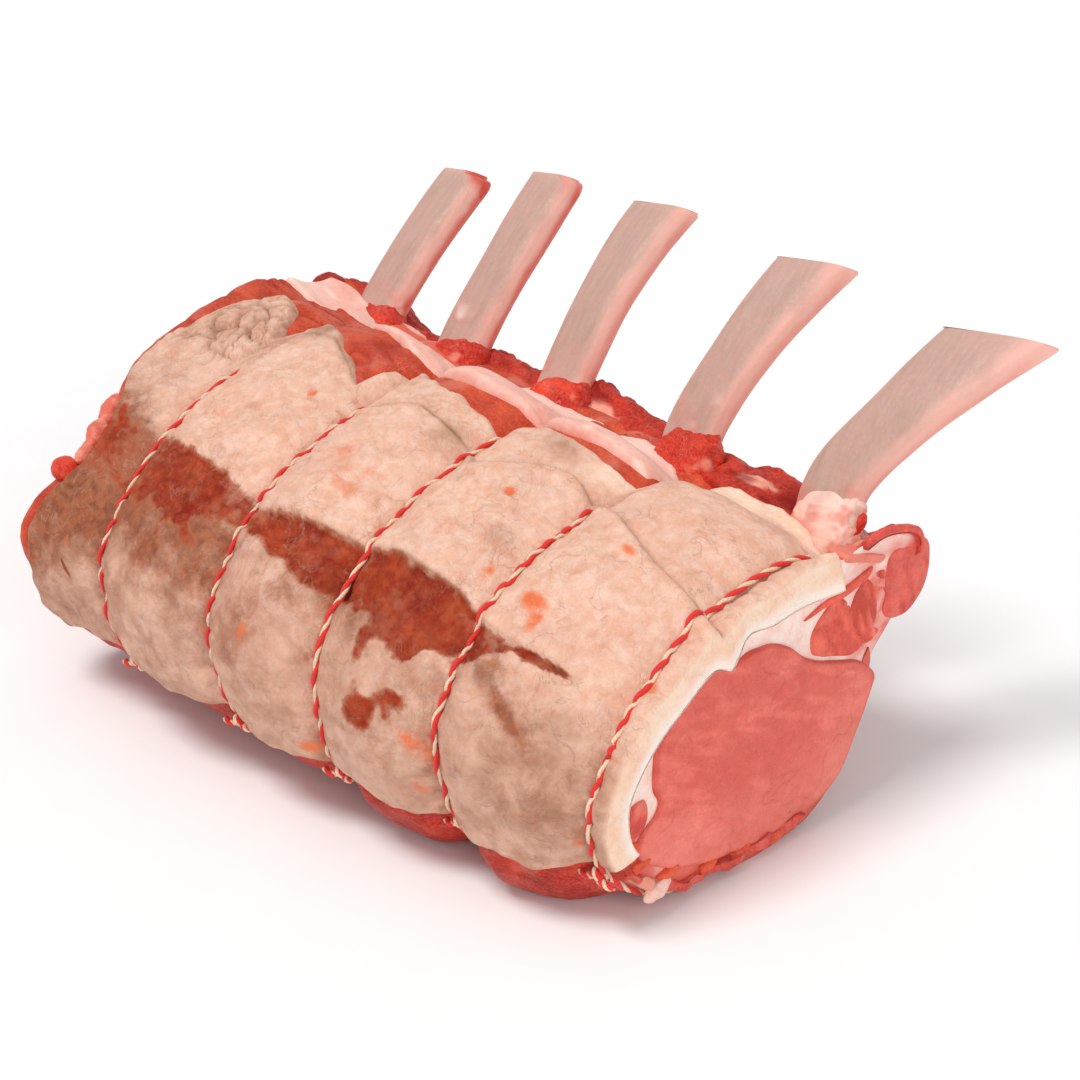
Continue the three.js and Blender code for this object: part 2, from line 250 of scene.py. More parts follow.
def skin(s, a, lift=0.0):
    """The roast's surface at (s, a), raised by lift."""
    s, a, lift = np.broadcast_arrays(np.asarray(s, float), np.asarray(a, float), lift)
    a = a % GIRTH
    lift = lift - pinch(s, a)
    (yz, out) = outline(BODY, np.interp(a, FINE_GIRTH, FINE_STEPS))
    y, z = yz[..., 0], yz[..., 1]
    index, risen = stretch(s)
    low = smooth(24, 8, z) * smooth(-74, -94, y)
    ridge = smooth(-34, -14, y) * smooth(44, 68, z)
    rise = risen * (SWELL[index] * (1 - ridge) + FOOT_SWELL[index] * low)
    rise = rise - FOOT_TRIM * low * smooth(-45, -80, s) + lift
    shrink = end_shrink(s)
    drop = RIDGE_DROP * ridge * (smooth(0, -14, s) - smooth(-172, -196, s))
    drop = drop + FIN_DROP * ridge * smooth(-0.8, -5, s) * smooth(-18, -8, s)
    return place(
        s + far_shift(s, a, y, z),
        (y + out[..., 0] * rise - MIDDLE[0]) * shrink + MIDDLE[0] - 0.5 * drop * smooth(0, 12, y),
        np.maximum(0, (z + out[..., 1] * rise - MIDDLE[1] - drop) * shrink + MIDDLE[1]))


def near_tie(s, reach):
    """1 on a tie, falling to 0 over reach."""
    return np.max([bell(s, tie, reach) for tie in LOOPS], axis=0)


def puckers(s, a):
    """Small creases that run out from each tie."""
    fine = flat_noise(s, a, 30, 5.5, 2, seed=5)
    return near_tie(s, 5.5) * (0.9 * ridged(fine, 1.5) - 0.2)


# ---- mesh building ----------------------------------------------------------------------------------
def grid_faces(rows, columns, closed=False):
    """Quads over rows of points; closed joins the last column to the first."""
    i = np.arange(rows - 1)[:, None]
    j = np.arange(columns if closed else columns - 1)[None, :]
    k = (j + 1) % columns
    quads = np.stack([i * columns + j, i * columns + k, (i + 1) * columns + k,
                      (i + 1) * columns + j], -1)
    return quads.reshape(-1, 4)


def joined(shells):
    """Several (points, faces, marks) as one; marks are named values on each point."""
    points, faces, start = [], [], 0
    names = sorted({name for shell in shells for name in shell[2]})
    marks = {name: [] for name in names}
    for p, f, m in shells:
        points.append(p)
        faces.append(f + start)
        start += len(p)
        for name in names:
            marks[name].append(m.get(name, np.zeros(len(p))))
    return np.vstack(points), np.vstack(faces), {n: np.concatenate(v) for n, v in marks.items()}


def closing_rings(row, count):
    """Rings that close a tube's last row of points, and how far in each of them has come."""
    share = np.linspace(0, 1, count + 1)[1:, None, None]
    middle = row.mean(0)
    return middle + (row[None] - middle) * (1 - share), share


def make_piece(name, shell, material, node_names):
    """A mesh piece from a shell in the roast's frame, standing for CAD nodes."""
    points, faces, marks = shell
    world = points * MM + np.array([CUT_FACE_X, RIB_ROW_Y, 0])
    mesh = bpy.data.meshes.new(name)
    mesh.from_pydata(world.tolist(), [], faces.tolist())
    for mark, values in marks.items():
        mesh.attributes.new(mark, "FLOAT", "POINT").data.foreach_set(
            "value", np.asarray(values, np.float32))
    work = bmesh.new()
    work.from_mesh(mesh)
    bmesh.ops.remove_doubles(work, verts=work.verts, dist=2e-6)
    bmesh.ops.recalc_face_normals(work, faces=work.faces)
    work.to_mesh(mesh)
    work.free()
    mesh.shade_smooth()
    mesh.materials.append(material)
    piece = bpy.data.objects.new(name, mesh)
    bpy.context.scene.collection.objects.link(piece)
    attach(piece, "root")
    if node_names:
        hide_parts(*node_names)
    return piece


def end_profile(s_end, outwards, length, thick, fine=0.7, cut=False):
    """How a layer closes at one of its ends: (s, share of its thickness that is gone)."""
    if cut:
        turn = [(length * (1 - math.sin(t)), 0.16 * (1 - math.cos(t)))
                for t in np.linspace(0, math.pi / 2, 6)]
        down = [(-0.35 * math.sin(math.pi * t), 0.16 + 0.84 * t)
                for t in np.linspace(0.08, 1, max(4, round(thick / fine)))]
        steps = turn + down
    else:
        steps = [(length * (1 - math.sin(t)), 1 - math.cos(t)) for t in np.linspace(0, math.pi / 2, 9)]
    return [(s_end - outwards * inset, gone) for inset, gone in steps]


def layer(far, near, from_a, to_a, count, lift, thick, step=0.7, near_cut=True, near_round=1.0,
          far_round=5.0, edge=3.0, back_step=5, far_edge=None, near_edge=None):
    """A closed layer of the skin between two girths, rounded along its edges and at its ends.

    from_a and to_a give the edges at s, lift(s, a) the outer face and thick(s, a) the depth of the
    inner one. near_cut cuts the near end square; far_edge(a) and near_edge(a) move the ends. edge is
    how far in the rounding of the long edges reaches."""
    depth = float(np.max(thick(np.array([near]), np.array([150.0]))))
    near_end = end_profile(near, 1, near_round, depth, cut=near_cut)
    far_end = end_profile(far, -1, far_round, depth)[::-1]
    middle = np.linspace(far_end[-1][0], near_end[0][0],
                         max(8, round((near_end[0][0] - far_end[-1][0]) / step)))[1:-1]
    stations = [*far_end, *[(s, 0.0) for s in middle], *near_end]
    s = np.array([x for x, _ in stations])[:, None]
    gone = np.array([g for _, g in stations])[:, None]
    v = np.linspace(0, 1, count)[None, :]
    v = v - 0.16 * np.sin(2 * np.pi * v) / (2 * np.pi)
    inside = np.clip(s, far + 1, near - 0.2)
    low, high = from_a(inside), to_a(inside)

    def spread(v):
        a = low + (high - low) * v
        shift = 0 * a
        if far_edge is not None:
            shift = shift + (far_edge(a) - far) * smooth(far + 55, far, s)
        if near_edge is not None:
            shift = shift + (near_edge(a) - near) * smooth(near - 12, near, s)
        return s + shift, a

    s_out, a = spread(v)
    rim = np.minimum(a - low, high - a)
    round_off = 1 - np.sqrt(1 - (1 - np.clip(rim / edge, 0, 1)) ** 2)
    drop = 1 - (1 - round_off) * (1 - gone)
    outer = skin(s_out, a, lift(s_out, a) * (1 - drop) - thick(s_out, a) * drop)
    s_in, back_a = spread(v[:, ::-back_step][:, 1:-1])
    inner = skin(s_in, back_a, -thick(s_in, back_a))
    points = np.concatenate([outer, inner], 1)
    rows, columns = points.shape[:2]
    marks = {
        "s": np.concatenate([s_out, s_in], 1).ravel(),
        "a": np.concatenate([a, back_a], 1).ravel(),
        "cut": np.concatenate([np.broadcast_to(gone, a.shape), 1 + 0 * back_a], 1).ravel(),
    }
    return points.reshape(-1, 3), grid_faces(rows, columns, closed=True), marks


def even(amount):
    """A thickness that is the same everywhere."""
    return lambda s, a: amount + 0 * s * a


def straight(girth):
    """An edge of a layer that runs straight along the roast."""
    return lambda s: girth + 0 * s


def plug(points, centre, end=0.0, outwards=1, depth=12.0, dome=1.0, edge=1.4, rings=34, steps=12,
         relief=None, grain=None, dark_rim=0.0):
    """The cut end of one muscle: a slightly domed face with a rounded edge and a wall behind it.

    points is its outline and centre the place it is built about; relief and grain give the height
    and the marks of the face, and dark_rim how much painted shade darkens its edge."""
    rim, _ = outline(points, np.arange(0, len(points), 1 / steps))
    middle = np.array(centre, float)
    reach = np.linalg.norm(rim - middle, axis=1).mean()
    turn = np.linspace(0, math.pi / 2, 6)[1:]
    radii = np.concatenate([np.linspace(0.001, 1, rings) ** 0.8 * (1 - edge / reach),
                            1 - edge / reach * (1 - np.sin(turn)), np.full(3, 0.985)])[:, None]
    back = np.concatenate([np.zeros(rings), edge * (1 - np.cos(turn)),
                           np.linspace(0.3, 1, 3) * depth])[:, None]
    yz = middle + (rim - middle) * radii[..., None]
    flat = 1 - smooth(0, edge, back)
    face = dome * (1 - (radii / radii.max()) ** 2.5) * flat + 0 * yz[..., 0]
    if relief:
        face = face + relief(yz) * flat
    s = end + outwards * (face - back)
    at = on_section(s, yz)
    rows, columns = at.shape[:2]
    marks = {"cut": np.ones(s.size)}
    if grain:
        marks.update({name: value.ravel() for name, value in grain(yz).items()})
        rim_shade = dark_rim * smooth(0.955, 0.99, radii / radii.max()) + 0 * s
        marks["crease"] = marks.get("crease", 0) + rim_shade.ravel()
    return at.reshape(-1, 3), grid_faces(rows, columns, closed=True), marks


def section_girth(yz):
    """The girth and the reach of the body in the direction of each section point."""
    from_core = yz - CORE
    angle = np.arctan2(from_core[..., 1], from_core[..., 0])
    return np.interp(angle, RIM_ANGLE, RIM_GIRTH), np.interp(angle, RIM_ANGLE, RIM_REACH)


def on_section(s, yz):
    """Puts section points on the slice at s, drawn in and set back as the body is there."""
    a, full = section_girth(yz)
    back = far_shift(s, a, yz[..., 0], yz[..., 1])
    yz = CORE + (yz - CORE) * (1 - pinch(s, a) / full)[..., None]
    yz = (yz - MIDDLE) * end_shrink(s)[..., None] + MIDDLE
    return place(s + back, yz[..., 0], np.maximum(0.2, yz[..., 1]))


# ---- where the fat and the lean lie on the skin -----------------------------------------------------
CAP_TOP = [    # upper edge of the fat cap: (s, girth)
    (-212, 178), (-203, 166), (-196, 150), (-190, 142), (-181, 146), (-175, 153), (-172.6, 157),
    (-172, 147), (-170, 142), (-160, 145.5), (-145, 152), (-136, 156), (-131, 160), (-128.4, 160.5),
    (-127.4, 156), (-125.5, 150), (-119, 147.5), (-109, 150.5), (-94, 151), (-85, 152.5), (-83.2, 154),
    (-82.7, 151), (-79, 148), (-73, 146.5), (-57, 146), (-48, 145.5), (-46, 144), (-44.6, 126),
    (-43.5, 119), (-41, 116), (-36, 114.5), (-25, 114.5), (-15, 117), (-7, 122), (0, 127)]
CAP_FAR = [    # far edge of the fat cap, as (girth, s): it stops short of the end beside the band
    (140, -200), (147, -202), (160, -203.5), (180, -203.5), (187, -202), (192, -199), (199, -195),
    (205, -193.5), (210, -195), (216, -198), (222, -201), (238, -204), (247, -206.5), (255, -207)]
STRIP_LOW = [  # lower edge of the pink strip
    (-208, 133), (-196, 131), (-186, 124), (-174, 127), (-166, 134), (-153, 139.5), (-143, 141.5),
    (-136, 143), (-126, 145), (-122, 144.5), (-110, 146.5), (-99, 145.5), (-87, 144), (-83.5, 142.6),
    (-76, 144.2), (-60, 143.6), (-46, 142)]
STRIP_HIGH = [  # ridge edge of the pink strip
    (-208, 112), (-188, 109), (-178, 104), (-168, 102), (-160, 104), (-150, 110), (-142, 115),
    (-130, 112), (-122, 112), (-110, 110), (-97, 113), (-88, 113), (-83, 115), (-73, 112),
    (-65, 114), (-58, 118), (-49, 126), (-46, 130)]
FOLD = [       # where the lower sheet of fat laps over the upper one
    (-118, 168), (-115, 166), (-110, 163.5), (-103, 161), (-89, 163), (-83.1, 164), (-77, 168),
    (-70, 166), (-63, 162), (-57, 159), (-52, 158), (-45, 161), (-41, 161), (-36, 162), (-27, 166),
    (-18, 170), (-12, 171), (-7, 172), (0, 175)]
FOLD_STEP = [  # how far it stands up there
    (-122, 0), (-115, 0.5), (-105, 0.7), (-92, 0.5), (-84, 0.3), (-78, 1.0), (-70, 1.7), (-55, 1.9),
    (-46, 1.3), (-42, 1.8), (-30, 2.2), (-12, 2.2), (-5, 2.0), (0, 1.8)]
CRACK = [      # a crack high on the fat, drawn only as a line of painted shade
    (-164, 156), (-154, 153), (-145, 155), (-137, 158), (-129, 162)]
BAND_TOP = [   # lean that shows between two sheets of fat, low on the fat side
    (-212, 198), (-200, 199), (-185, 197), (-170, 196), (-155, 196), (-142, 197), (-129, 198),
    (-118, 201), (-103, 199), (-90, 199), (-71, 197), (-60, 198), (-52, 198), (-43, 201), (-35, 203),
    (-24, 203.5), (-16, 204), (0, 204)]
BAND_LOW = [   # lower edge of that band
    (-212, 213), (-195, 212), (-178, 212), (-162, 212), (-143, 211), (-127, 208), (-118, 208),
    (-108, 208), (-93, 211), (-84, 212), (-77, 211), (-67, 214), (-57, 217), (-50, 211), (-43, 211),
    (-37, 208), (-30, 205.5), (-16, 204.6), (0, 204.2)]
BAND_STRENGTH = [  # how bare the lean lies there
    (-212, 0.35), (-195, 0.5), (-178, 0.6), (-160, 0.65), (-148, 0.95), (-136, 0.9), (-124, 0.7),
    (-114, 0.9), (-104, 0.95), (-92, 1.1), (-77, 1.15), (-50, 1.15), (-42, 1), (-38, 0.75), (-30, 0.6),
    (-17, 0.4), (-13, 0), (0, 0)]


def cap_top(s):
    ragged = flat_noise(s, 0 * s, 5, 1, 3, seed=31)
    return follow(CAP_TOP, s) + 1.1 * ragged


def strip_low(s):
    return follow(STRIP_LOW, s) + 0.7 * flat_noise(s, 0 * s, 6, 1, 3, seed=41)


def strip_high(s):
    return follow(STRIP_HIGH, s) + 1.4 * flat_noise(s, 0 * s, 7, 1, 3, seed=43)


def cap_low(s):
    return 252.5 + 1.6 * flat_noise(s, 0 * s, 9, 1, 3, seed=47) - 2.5 * bell(s, 0, 8)


def cap_far(a):
    return follow(CAP_FAR, a) + 1.6 * flat_noise(0 * a, a, 1, 6, 3, seed=53)


def blob(s, a, at_s, at_a, long, wide, turn=0.0):
    """A soft oval patch on the skin: 1 in its middle and about 0.37 at its rim."""
    c, d = math.cos(math.radians(turn)), math.sin(math.radians(turn))
    u = (s - at_s) * c + (a - at_a) * d
    v = (a - at_a) * c - (s - at_s) * d
    return np.exp(-(u / long) ** 2 - (v / wide) ** 2)


# Patches on the fat, each as s, girth, half length, half width, turn in degrees and strength.
# Places besides the band where lean shows through:
LEAN_SPOTS = [
    (-198, 207, 9, 8, 0, 0.55), (-180, 202, 7, 6, 0, 0.6), (-150, 203, 6, 6, 0, 0.8),
    (-140, 209, 6, 5, 25, 0.9), (-146, 214, 3.5, 5, 0, 0.5), (-132, 214, 5, 3, 0, 0.4),
    (-97, 205, 9, 5, 0, 0.8), (-88, 209, 6, 5, 0, 0.9), (-68, 217, 3.4, 6, 10, 0.7),
    (-58, 213, 6, 6, 0, 0.9), (-47, 206, 5, 6, 0, 0.8), (-63, 229, 8, 5, -10, 0.75),
    (-54, 225, 4, 4, 0, 0.5), (-25, 204.2, 9, 1.3, 0, 1.1), (-33, 210, 3, 2, 30, 0.4),
    (-114, 206, 5, 3.4, 0, 0.7), (-84, 222, 3, 8, 0, 0.45), (-122, 226, 3, 6, 0, 0.3),
    (-186, 196, 6, 3, 30, 0.7), (-183, 232.5, 3.4, 0.9, 35, 0.9)]
# Orange brown stains and blood spots:
STAINS = [
    (-47, 233, 6, 2.4, 20, 0.5), (-52, 231, 3, 3, 0, 0.35), (-33.5, 193, 3.6, 2.2, 10, 1.1),
    (-30, 197.5, 1.6, 2.8, 0, 0.9), (-134, 171, 1.4, 2.0, 0, 1.2), (-60, 172, 1.5, 1.3, 0, 1.3),
    (-49, 192, 1.1, 2.2, 0, 1.0), (-25, 171, 2.2, 1.0, 10, 1.0), (-19, 236, 7, 2.0, -8, 0.6),
    (-7, 242, 3, 2.0, 0, 0.7), (-50, 243, 2, 1.6, 0, 0.8), (-3, 196, 1.3, 1.6, 0, 0.9),
    (-3, 216, 2.6, 0.7, 0, 0.8), (-97, 187, 7, 6, 0, 0.35), (-108, 181, 4, 4, 0, 0.3),
    (-104, 225, 1.3, 2.2, 0, 0.6), (-176, 232, 2, 3.5, 15, 0.6), (-183, 226, 1.2, 2.6, 0, 0.6),
    (-120, 239, 3, 2, 0, 0.5), (-88, 246, 4, 1.5, 0, 0.6), (-140, 236, 2, 4, 0, 0.35),
    (-150, 186, 6, 4, 0, 0.25), (-63, 187, 5, 4, 0, 0.3), (-30, 182, 6, 4, 0, 0.2)]
# Grey membrane:
GREYS = [
    (-156, 149, 6, 6, 0, 1.0), (-136, 156, 5, 5, 0, 0.7), (-92, 165, 6, 5, 0, 0.7),
    (-60, 152, 9, 4, 0, 0.5), (-186, 213, 9, 7, 0, 0.9), (-174, 222, 9, 7, 0, 0.6),
    (-22, 200, 8, 5, 0, 0.35), (-18, 226, 12, 12, 0, 0.45), (-52, 183, 4, 4, 0, 0.4),
    (-182, 158, 6, 6, 0, 0.5), (-130, 225, 8, 9, 0, 0.35), (-72, 217, 5, 7, 0, 0.45)]
# Olive brown, where dried membrane lies over lean:
BROWNS = [
    (-182, 213, 24, 16, 0, 0.5), (-148, 215, 20, 15, 0, 0.5), (-124, 214, 14, 13, 0, 0.4),
    (-188, 203, 10, 8, 0, 0.5), (-96, 218, 14, 8, 0, 0.35), (-80, 212, 12, 6, 0, 0.4),
    (-60, 232, 12, 8, 0, 0.3), (-108, 228, 8, 8, 0, 0.3), (-194, 205, 16, 10, 0, 1.2),
    (-177, 208, 12, 11, 0, 1.0), (-190, 220, 14, 9, 0, 0.9), (-158, 206, 9, 9, 0, 0.7),
    (-201, 196, 6, 7, 0, 0.9), (-196, 232, 10, 8, 0, 0.45), (-140, 205, 10, 7, 0, 0.6),
    (-84, 206, 16, 7, 0, 0.5), (-112, 206, 10, 7, 0, 0.5), (-60, 214, 12, 9, 0, 0.45),
    (-27, 216.5, 9, 2.4, 33, 0.9), (-36, 208, 9, 6, 0, 0.5), (-22, 216, 8, 10, 0, 0.3)]
# A pinker flush:
PINKS = [
    (-150, 218, 9, 9, 0, 0.7), (-112, 218, 12, 9, 0, 0.8), (-96, 228, 10, 10, 0, 0.5),
    (-26, 150, 14, 12, 0, 0.2), (-58, 218, 6, 5, 0, 0.4), (-190, 235, 10, 8, 0, 0.4),
    (-176, 236, 7, 6, 0, 0.4)]


def spots(table, s, a, ragged):
    """All the patches of a table together, with edges roughened by ragged."""
    total = 0
    for at_s, at_a, long, wide, turn, strength in table:
        total = total + strength * blob(s, a, at_s, at_a, long, wide, turn)
    return total * (1 + 0.7 * ragged)


def band(s, a):
    """Share of lean in the open band, 0 to 1."""
    top, low = follow(BAND_TOP, s), follow(BAND_LOW, s)
    ragged = flat_noise(s, a, 5, 3.2, 4, seed=61)
    width = np.maximum(low - top, 0.8)
    inside = np.minimum(a - top + 1.0 * ragged, low - a + 2.6 * ragged)
    return smooth(-0.35, 0.9, inside / np.minimum(width / 3, 2.0)) * follow(BAND_STRENGTH, s)


def cap_marks(s, a):
    """Where the fat cap is stained, grey, pink, brown or lean, and where shade is painted, 0 to 1."""
    ragged = flat_noise(s, a, 4.5, 3.5, 4, seed=71)
    wide = flat_noise(s, a, 16, 11, 3, seed=73)
    lean = np.maximum(band(s, a), smooth(0.32, 0.75, spots(LEAN_SPOTS, s, a, ragged)))
    # Painted shade: along the fold, in the crack, under the lip over the band, between lumps, in grooves.
    fold = follow(FOLD, s)
    step = follow(FOLD_STEP, s) / 2
    worn = 0.75 + 0.6 * flat_noise(s, a, 5, 3, 3, seed=77)
    crease = np.maximum(step, 1.2 * smooth(0.15, 0.45, 2 * step) * worn)
    crease = crease * np.exp(-np.abs(a - fold + 0.25) / 0.55)
    crack = np.exp(-np.abs(a - follow(CRACK, s) + 0.7 * ragged) / 0.45)
    crack = crack * smooth(-164, -160, s) * smooth(-129, -133, s)
    crease = np.maximum(crease, 1.3 * worn * crack)
    crease = np.maximum(crease, 0.75 * bell(a, follow(BAND_TOP, s) + 0.4 * ragged, 0.5)
                        * smooth(-128, -112, s) * smooth(-13, -20, s) * smooth(-0.5, 0.2, wide))
    # Painted shade: the fat greys and darkens down its lower side.
    lower_side_shade = 0.62 * smooth(202, 222, a)
    far_grey = 0.3 * smooth(-150, -200, s)
    return {
        "lean": np.clip(lean, 0, 1),
        "stain": np.clip(spots(STAINS, s, a, ragged), 0, 1.2),
        "grey": np.clip(spots(GREYS, s, a, wide) + lower_side_shade + far_grey + 0.25 * wide, 0, 1),
        "pink": np.clip(spots(PINKS, s, a, wide) + 0.25 * smooth(0.1, 0.6, -wide), 0, 1),
        # Brown holds dried membrane over lean, and painted shade in the grooves beside the ties low down.
        "brown": np.clip(spots(BROWNS, s, a, wide)
                         + 0.35 * near_tie(s, 3.5) * smooth(205, 225, a), 0, 1),
        "crease": np.clip(crease + 0.95 * clumps(s, a)[1] * clump_place(s, a)
                          + 0.1 * ridged(flat_noise(s, a, 10, 7, 2, seed=15), 6), 0, 1),
    }


def cells(s, a, size, seed):
    """Distance to the nearest and to the next nearest of scattered points, as shares of size."""
    u, v = np.broadcast_arrays(s / size, a / size)
    cu, cv = np.floor(u).astype(np.int64), np.floor(v).astype(np.int64)
    first, second = np.full(u.shape, 9.0), np.full(u.shape, 9.0)
    for du in (-1, 0, 1):
        for dv in (-1, 0, 1):
            pu, pv = cu + du, cv + dv
            away = np.hypot(pu + 0.5 + 0.42 * lattice(pu, pv, 0 * pu, seed) - u,
                            pv + 0.5 + 0.42 * lattice(pu, pv, 0 * pu + 1, seed) - v)
            second = np.minimum(second, np.maximum(first, away))
            first = np.minimum(first, away)
    return first, second


def clump_place(s, a):
    """1 where the loose lumps of fat lie, high up at the far end."""
    return smooth(-168, -176, s) * smooth(178, 163, a)


def clumps(s, a):
    """The loose lumps of fat at the far end of the cap: their height, and the cracks between them."""
    wander = 3.0 * flat_noise(s, a, 5, 5, 3, seed=83)
    big, next_big = cells(s + wander, a - wander, 8.5, seed=85)
    small, next_small = cells(s - wander, a + 0.6 * wander, 4.6, seed=87)
    crack = np.maximum(smooth(0.16, 0.0, next_big - big), 0.6 * smooth(0.12, 0.0, next_small - small))
    dome = 1.8 * np.sqrt(np.clip(1 - big ** 2, 0, 1)) + 0.9 * np.sqrt(np.clip(1 - small ** 2, 0, 1))
    return dome - 1.3 - 1.5 * crack, crack


def cap_lift(s, a):
    """How far the fat cap stands above the skin: its fold, its band, its lumps and its creases."""
    fold = follow(FOLD, s)
    step = follow(FOLD_STEP, s)
    lip = 1 + 0.35 * bell(a, fold + 2.4, 2.6)
    over = step * smooth(-0.3, 0.55, a - fold) * lip * smooth(60, 22, a - fold)
    crack = 0.35 * step * bell(a, fold - 0.5, 0.7)
    in_band = band(s, a)
    top = follow(BAND_TOP, s)
    sheet_lip = 0.9 * bell(a, top - 2.2, 2.6) * smooth(-128, -115, s) * follow(BAND_STRENGTH, s)
    slit = 1.2 * bell(a, top + 0.4, 0.8) * smooth(-40, -34, s) * smooth(-13, -19, s)
    lumpy = (1.1 * flat_noise(s, a, 15, 12, 3, seed=11) + 0.5 * flat_noise(s, a, 5, 4, 3, seed=13)
             - 0.22 * ridged(flat_noise(s, a, 10, 7, 2, seed=15), 4))
    deep = near_tie(s, 2.4) * smooth(252, 244, a) + 0.8 * near_tie(s, 2.2) * smooth(176, 158, a)
    far_bulge = 1.8 * bell(a, 186, 12) * smooth(-190, -206, s)
    return (0.5 + far_bulge + over - crack - 1.15 * in_band + sheet_lip - slit + lumpy
            + clumps(s, a)[0] * clump_place(s, a) - puckers(s, a) - deep)


def lean_fibres(s, a, seed):
    """Fine ridges of muscle that run along the roast."""
    return 0.35 * flat_noise(s, a, 16, 2.2, 3, seed) + 0.5 * flat_noise(s, a, 11, 8, 3, seed + 1)


# ---- shader groups ----------------------------------------------------------------------------------
def new_group(name, inputs, outputs):
    """An empty shader group with named sockets: inputs and outputs are (name, kind, default)."""
    tree = bpy.data.node_groups.new(name, "ShaderNodeTree")
    kinds = {"value": "NodeSocketFloat", "colour": "NodeSocketColor", "vector": "NodeSocketVector"}
    for label, kind, default in inputs:
        socket = tree.interface.new_socket(label, in_out="INPUT", socket_type=kinds[kind])
        if default is not None:
            socket.default_value = default
    for label, kind in outputs:
        tree.interface.new_socket(label, in_out="OUTPUT", socket_type=kinds[kind])
    return tree, tree.nodes.new("NodeGroupInput"), tree.nodes.new("NodeGroupOutput")


class Nodes:
    """Short ways to place and link nodes in a tree."""

    def __init__(self, tree):
        self.tree = tree

    def add(self, kind, **settings):
        node = self.tree.nodes.new("ShaderNode" + kind)
        for key, value in settings.items():
            setattr(node, key, value)
        return node

    def link(self, source, target):
        if hasattr(source, "links"):
            self.tree.links.new(source, target)
        else:
            target.default_value = source

    def maths(self, operation, *values, clamp=False):
        node = self.add("Math", operation=operation, use_clamp=clamp)
        for k, value in enumerate(values):
            self.link(value, node.inputs[k])
        return node.outputs[0]

    def noise(self, vector, scale, detail=4.0, roughness=0.5, distortion=0.0):
        node = self.add("TexNoise")
        self.link(vector, node.inputs["Vector"])
        self.link(scale, node.inputs["Scale"])
        self.link(detail, node.inputs["Detail"])
        self.link(roughness, node.inputs["Roughness"])
        self.link(distortion, node.inputs["Distortion"])
        return node.outputs[0]

    def object_space(self):
        return self.add("TexCoord").outputs["Object"]

    def stretch(self, vector, scale):
        node = self.add("VectorMath", operation="MULTIPLY")
        self.link(vector, node.inputs[0])
        node.inputs[1].default_value = scale
        return node.outputs[0]

    def ranged(self, value, low, high, to_low=0.0, to_high=1.0):
        node = self.add("MapRange", interpolation_type="SMOOTHSTEP")
        for socket, v in zip(node.inputs, (value, low, high, to_low, to_high)):
            self.link(v, socket)
        return node.outputs[0]

    def mix(self, factor, first, second, blend="MIX"):
        node = self.add("Mix", data_type="RGBA", blend_type=blend)
        self.link(factor, node.inputs["Factor"])
        self.link(first, node.inputs[6])
        self.link(second, node.inputs[7])
        return node.outputs[2]

    def wash(self, colour, *layers):
        """Thin coats over a colour, each as (where it lies, how strong it is, its colour)."""
        for mask, strength, tint in layers:
            colour = self.mix(self.maths("MULTIPLY", mask, strength), colour, tint)
        return colour

    def mark(self, name):
        """A named value that the mesh holds on each of its points."""
        return self.add("Attribute", attribute_name=name).outputs["Fac"]

    def group(self, tree, **values):
        node = self.add("Group", node_tree=tree)
        for label, value in values.items():
            self.link(value, node.inputs[label.replace("_", " ")])
        return node


def mottle_group():
    """Broad and fine blotches, for flesh and fat of any tone."""
    tree, start, end = new_group(
        "Mottle",
        [("Vector", "vector", None), ("Blotch Size", "value", 110.0), ("Speckle Size", "value", 900.0)],
        [("Blotches", "value"), ("Speckles", "value")])
    n = Nodes(tree)
    broad = n.noise(start.outputs["Vector"], start.outputs["Blotch Size"], 6.0, 0.62, 0.4)
    fine = n.noise(start.outputs["Vector"], start.outputs["Speckle Size"], 3.0, 0.6)
    n.link(n.ranged(broad, 0.34, 0.66), end.inputs["Blotches"])
    n.link(n.ranged(fine, 0.36, 0.66), end.inputs["Speckles"])
    return tree


def thread_group():
    """Thin wandering lines, for marbling, veins and the seams between bundles of muscle."""
    tree, start, end = new_group(
        "Thin Lines",
        [("Vector", "vector", None), ("Size", "value", 90.0), ("Width", "value", 0.03),
         ("Wander", "value", 0.6)],
        [("Lines", "value")])
    n = Nodes(tree)
    where, size = start.outputs["Vector"], start.outputs["Size"]
    swirl = n.noise(where, size, 4.0, 0.5, start.outputs["Wander"])
    away = n.maths("ABSOLUTE", n.maths("SUBTRACT", swirl, 0.5))
    line = n.ranged(away, start.outputs["Width"], 0.0)
    gaps = n.noise(where, n.maths("MULTIPLY", size, 0.7), 2.0)
    n.link(n.maths("MULTIPLY", line, n.ranged(gaps, 0.45, 0.62)), end.inputs["Lines"])
    return tree


def relief_group():
    """Height for a Bump node: fine pits over soft lumps."""
    tree, start, end = new_group(
        "Soft Relief",
        [("Vector", "vector", None), ("Lump Size", "value", 260.0), ("Pit Size", "value", 1500.0),
         ("Pits", "value", 0.4)],
        [("Height", "value")])
    n = Nodes(tree)
    lumps = n.noise(start.outputs["Vector"], start.outputs["Lump Size"], 4.0, 0.55)
    pits = n.noise(start.outputs["Vector"], start.outputs["Pit Size"], 3.0, 0.6)
    n.link(n.maths("MULTIPLY_ADD", pits, start.outputs["Pits"], lumps), end.inputs["Height"])
    return tree


MOTTLE, LINES, RELIEF = mottle_group(), thread_group(), relief_group()


def mottled(n, where, blotch_size, speckle_size):
    """The mottle group in a material: its blotches and its speckles."""
    node = n.group(MOTTLE, Vector=where, Blotch_Size=blotch_size, Speckle_Size=speckle_size)
    return node.outputs["Blotches"], node.outputs["Speckles"]


def thin_lines(n, where, size, width, wander):
    return n.group(LINES, Vector=where, Size=size, Width=width, Wander=wander).outputs["Lines"]


def soft_relief(n, where, lump_size, pit_size, pits):
    node = n.group(RELIEF, Vector=where, Lump_Size=lump_size, Pit_Size=pit_size, Pits=pits)
    return node.outputs["Height"]


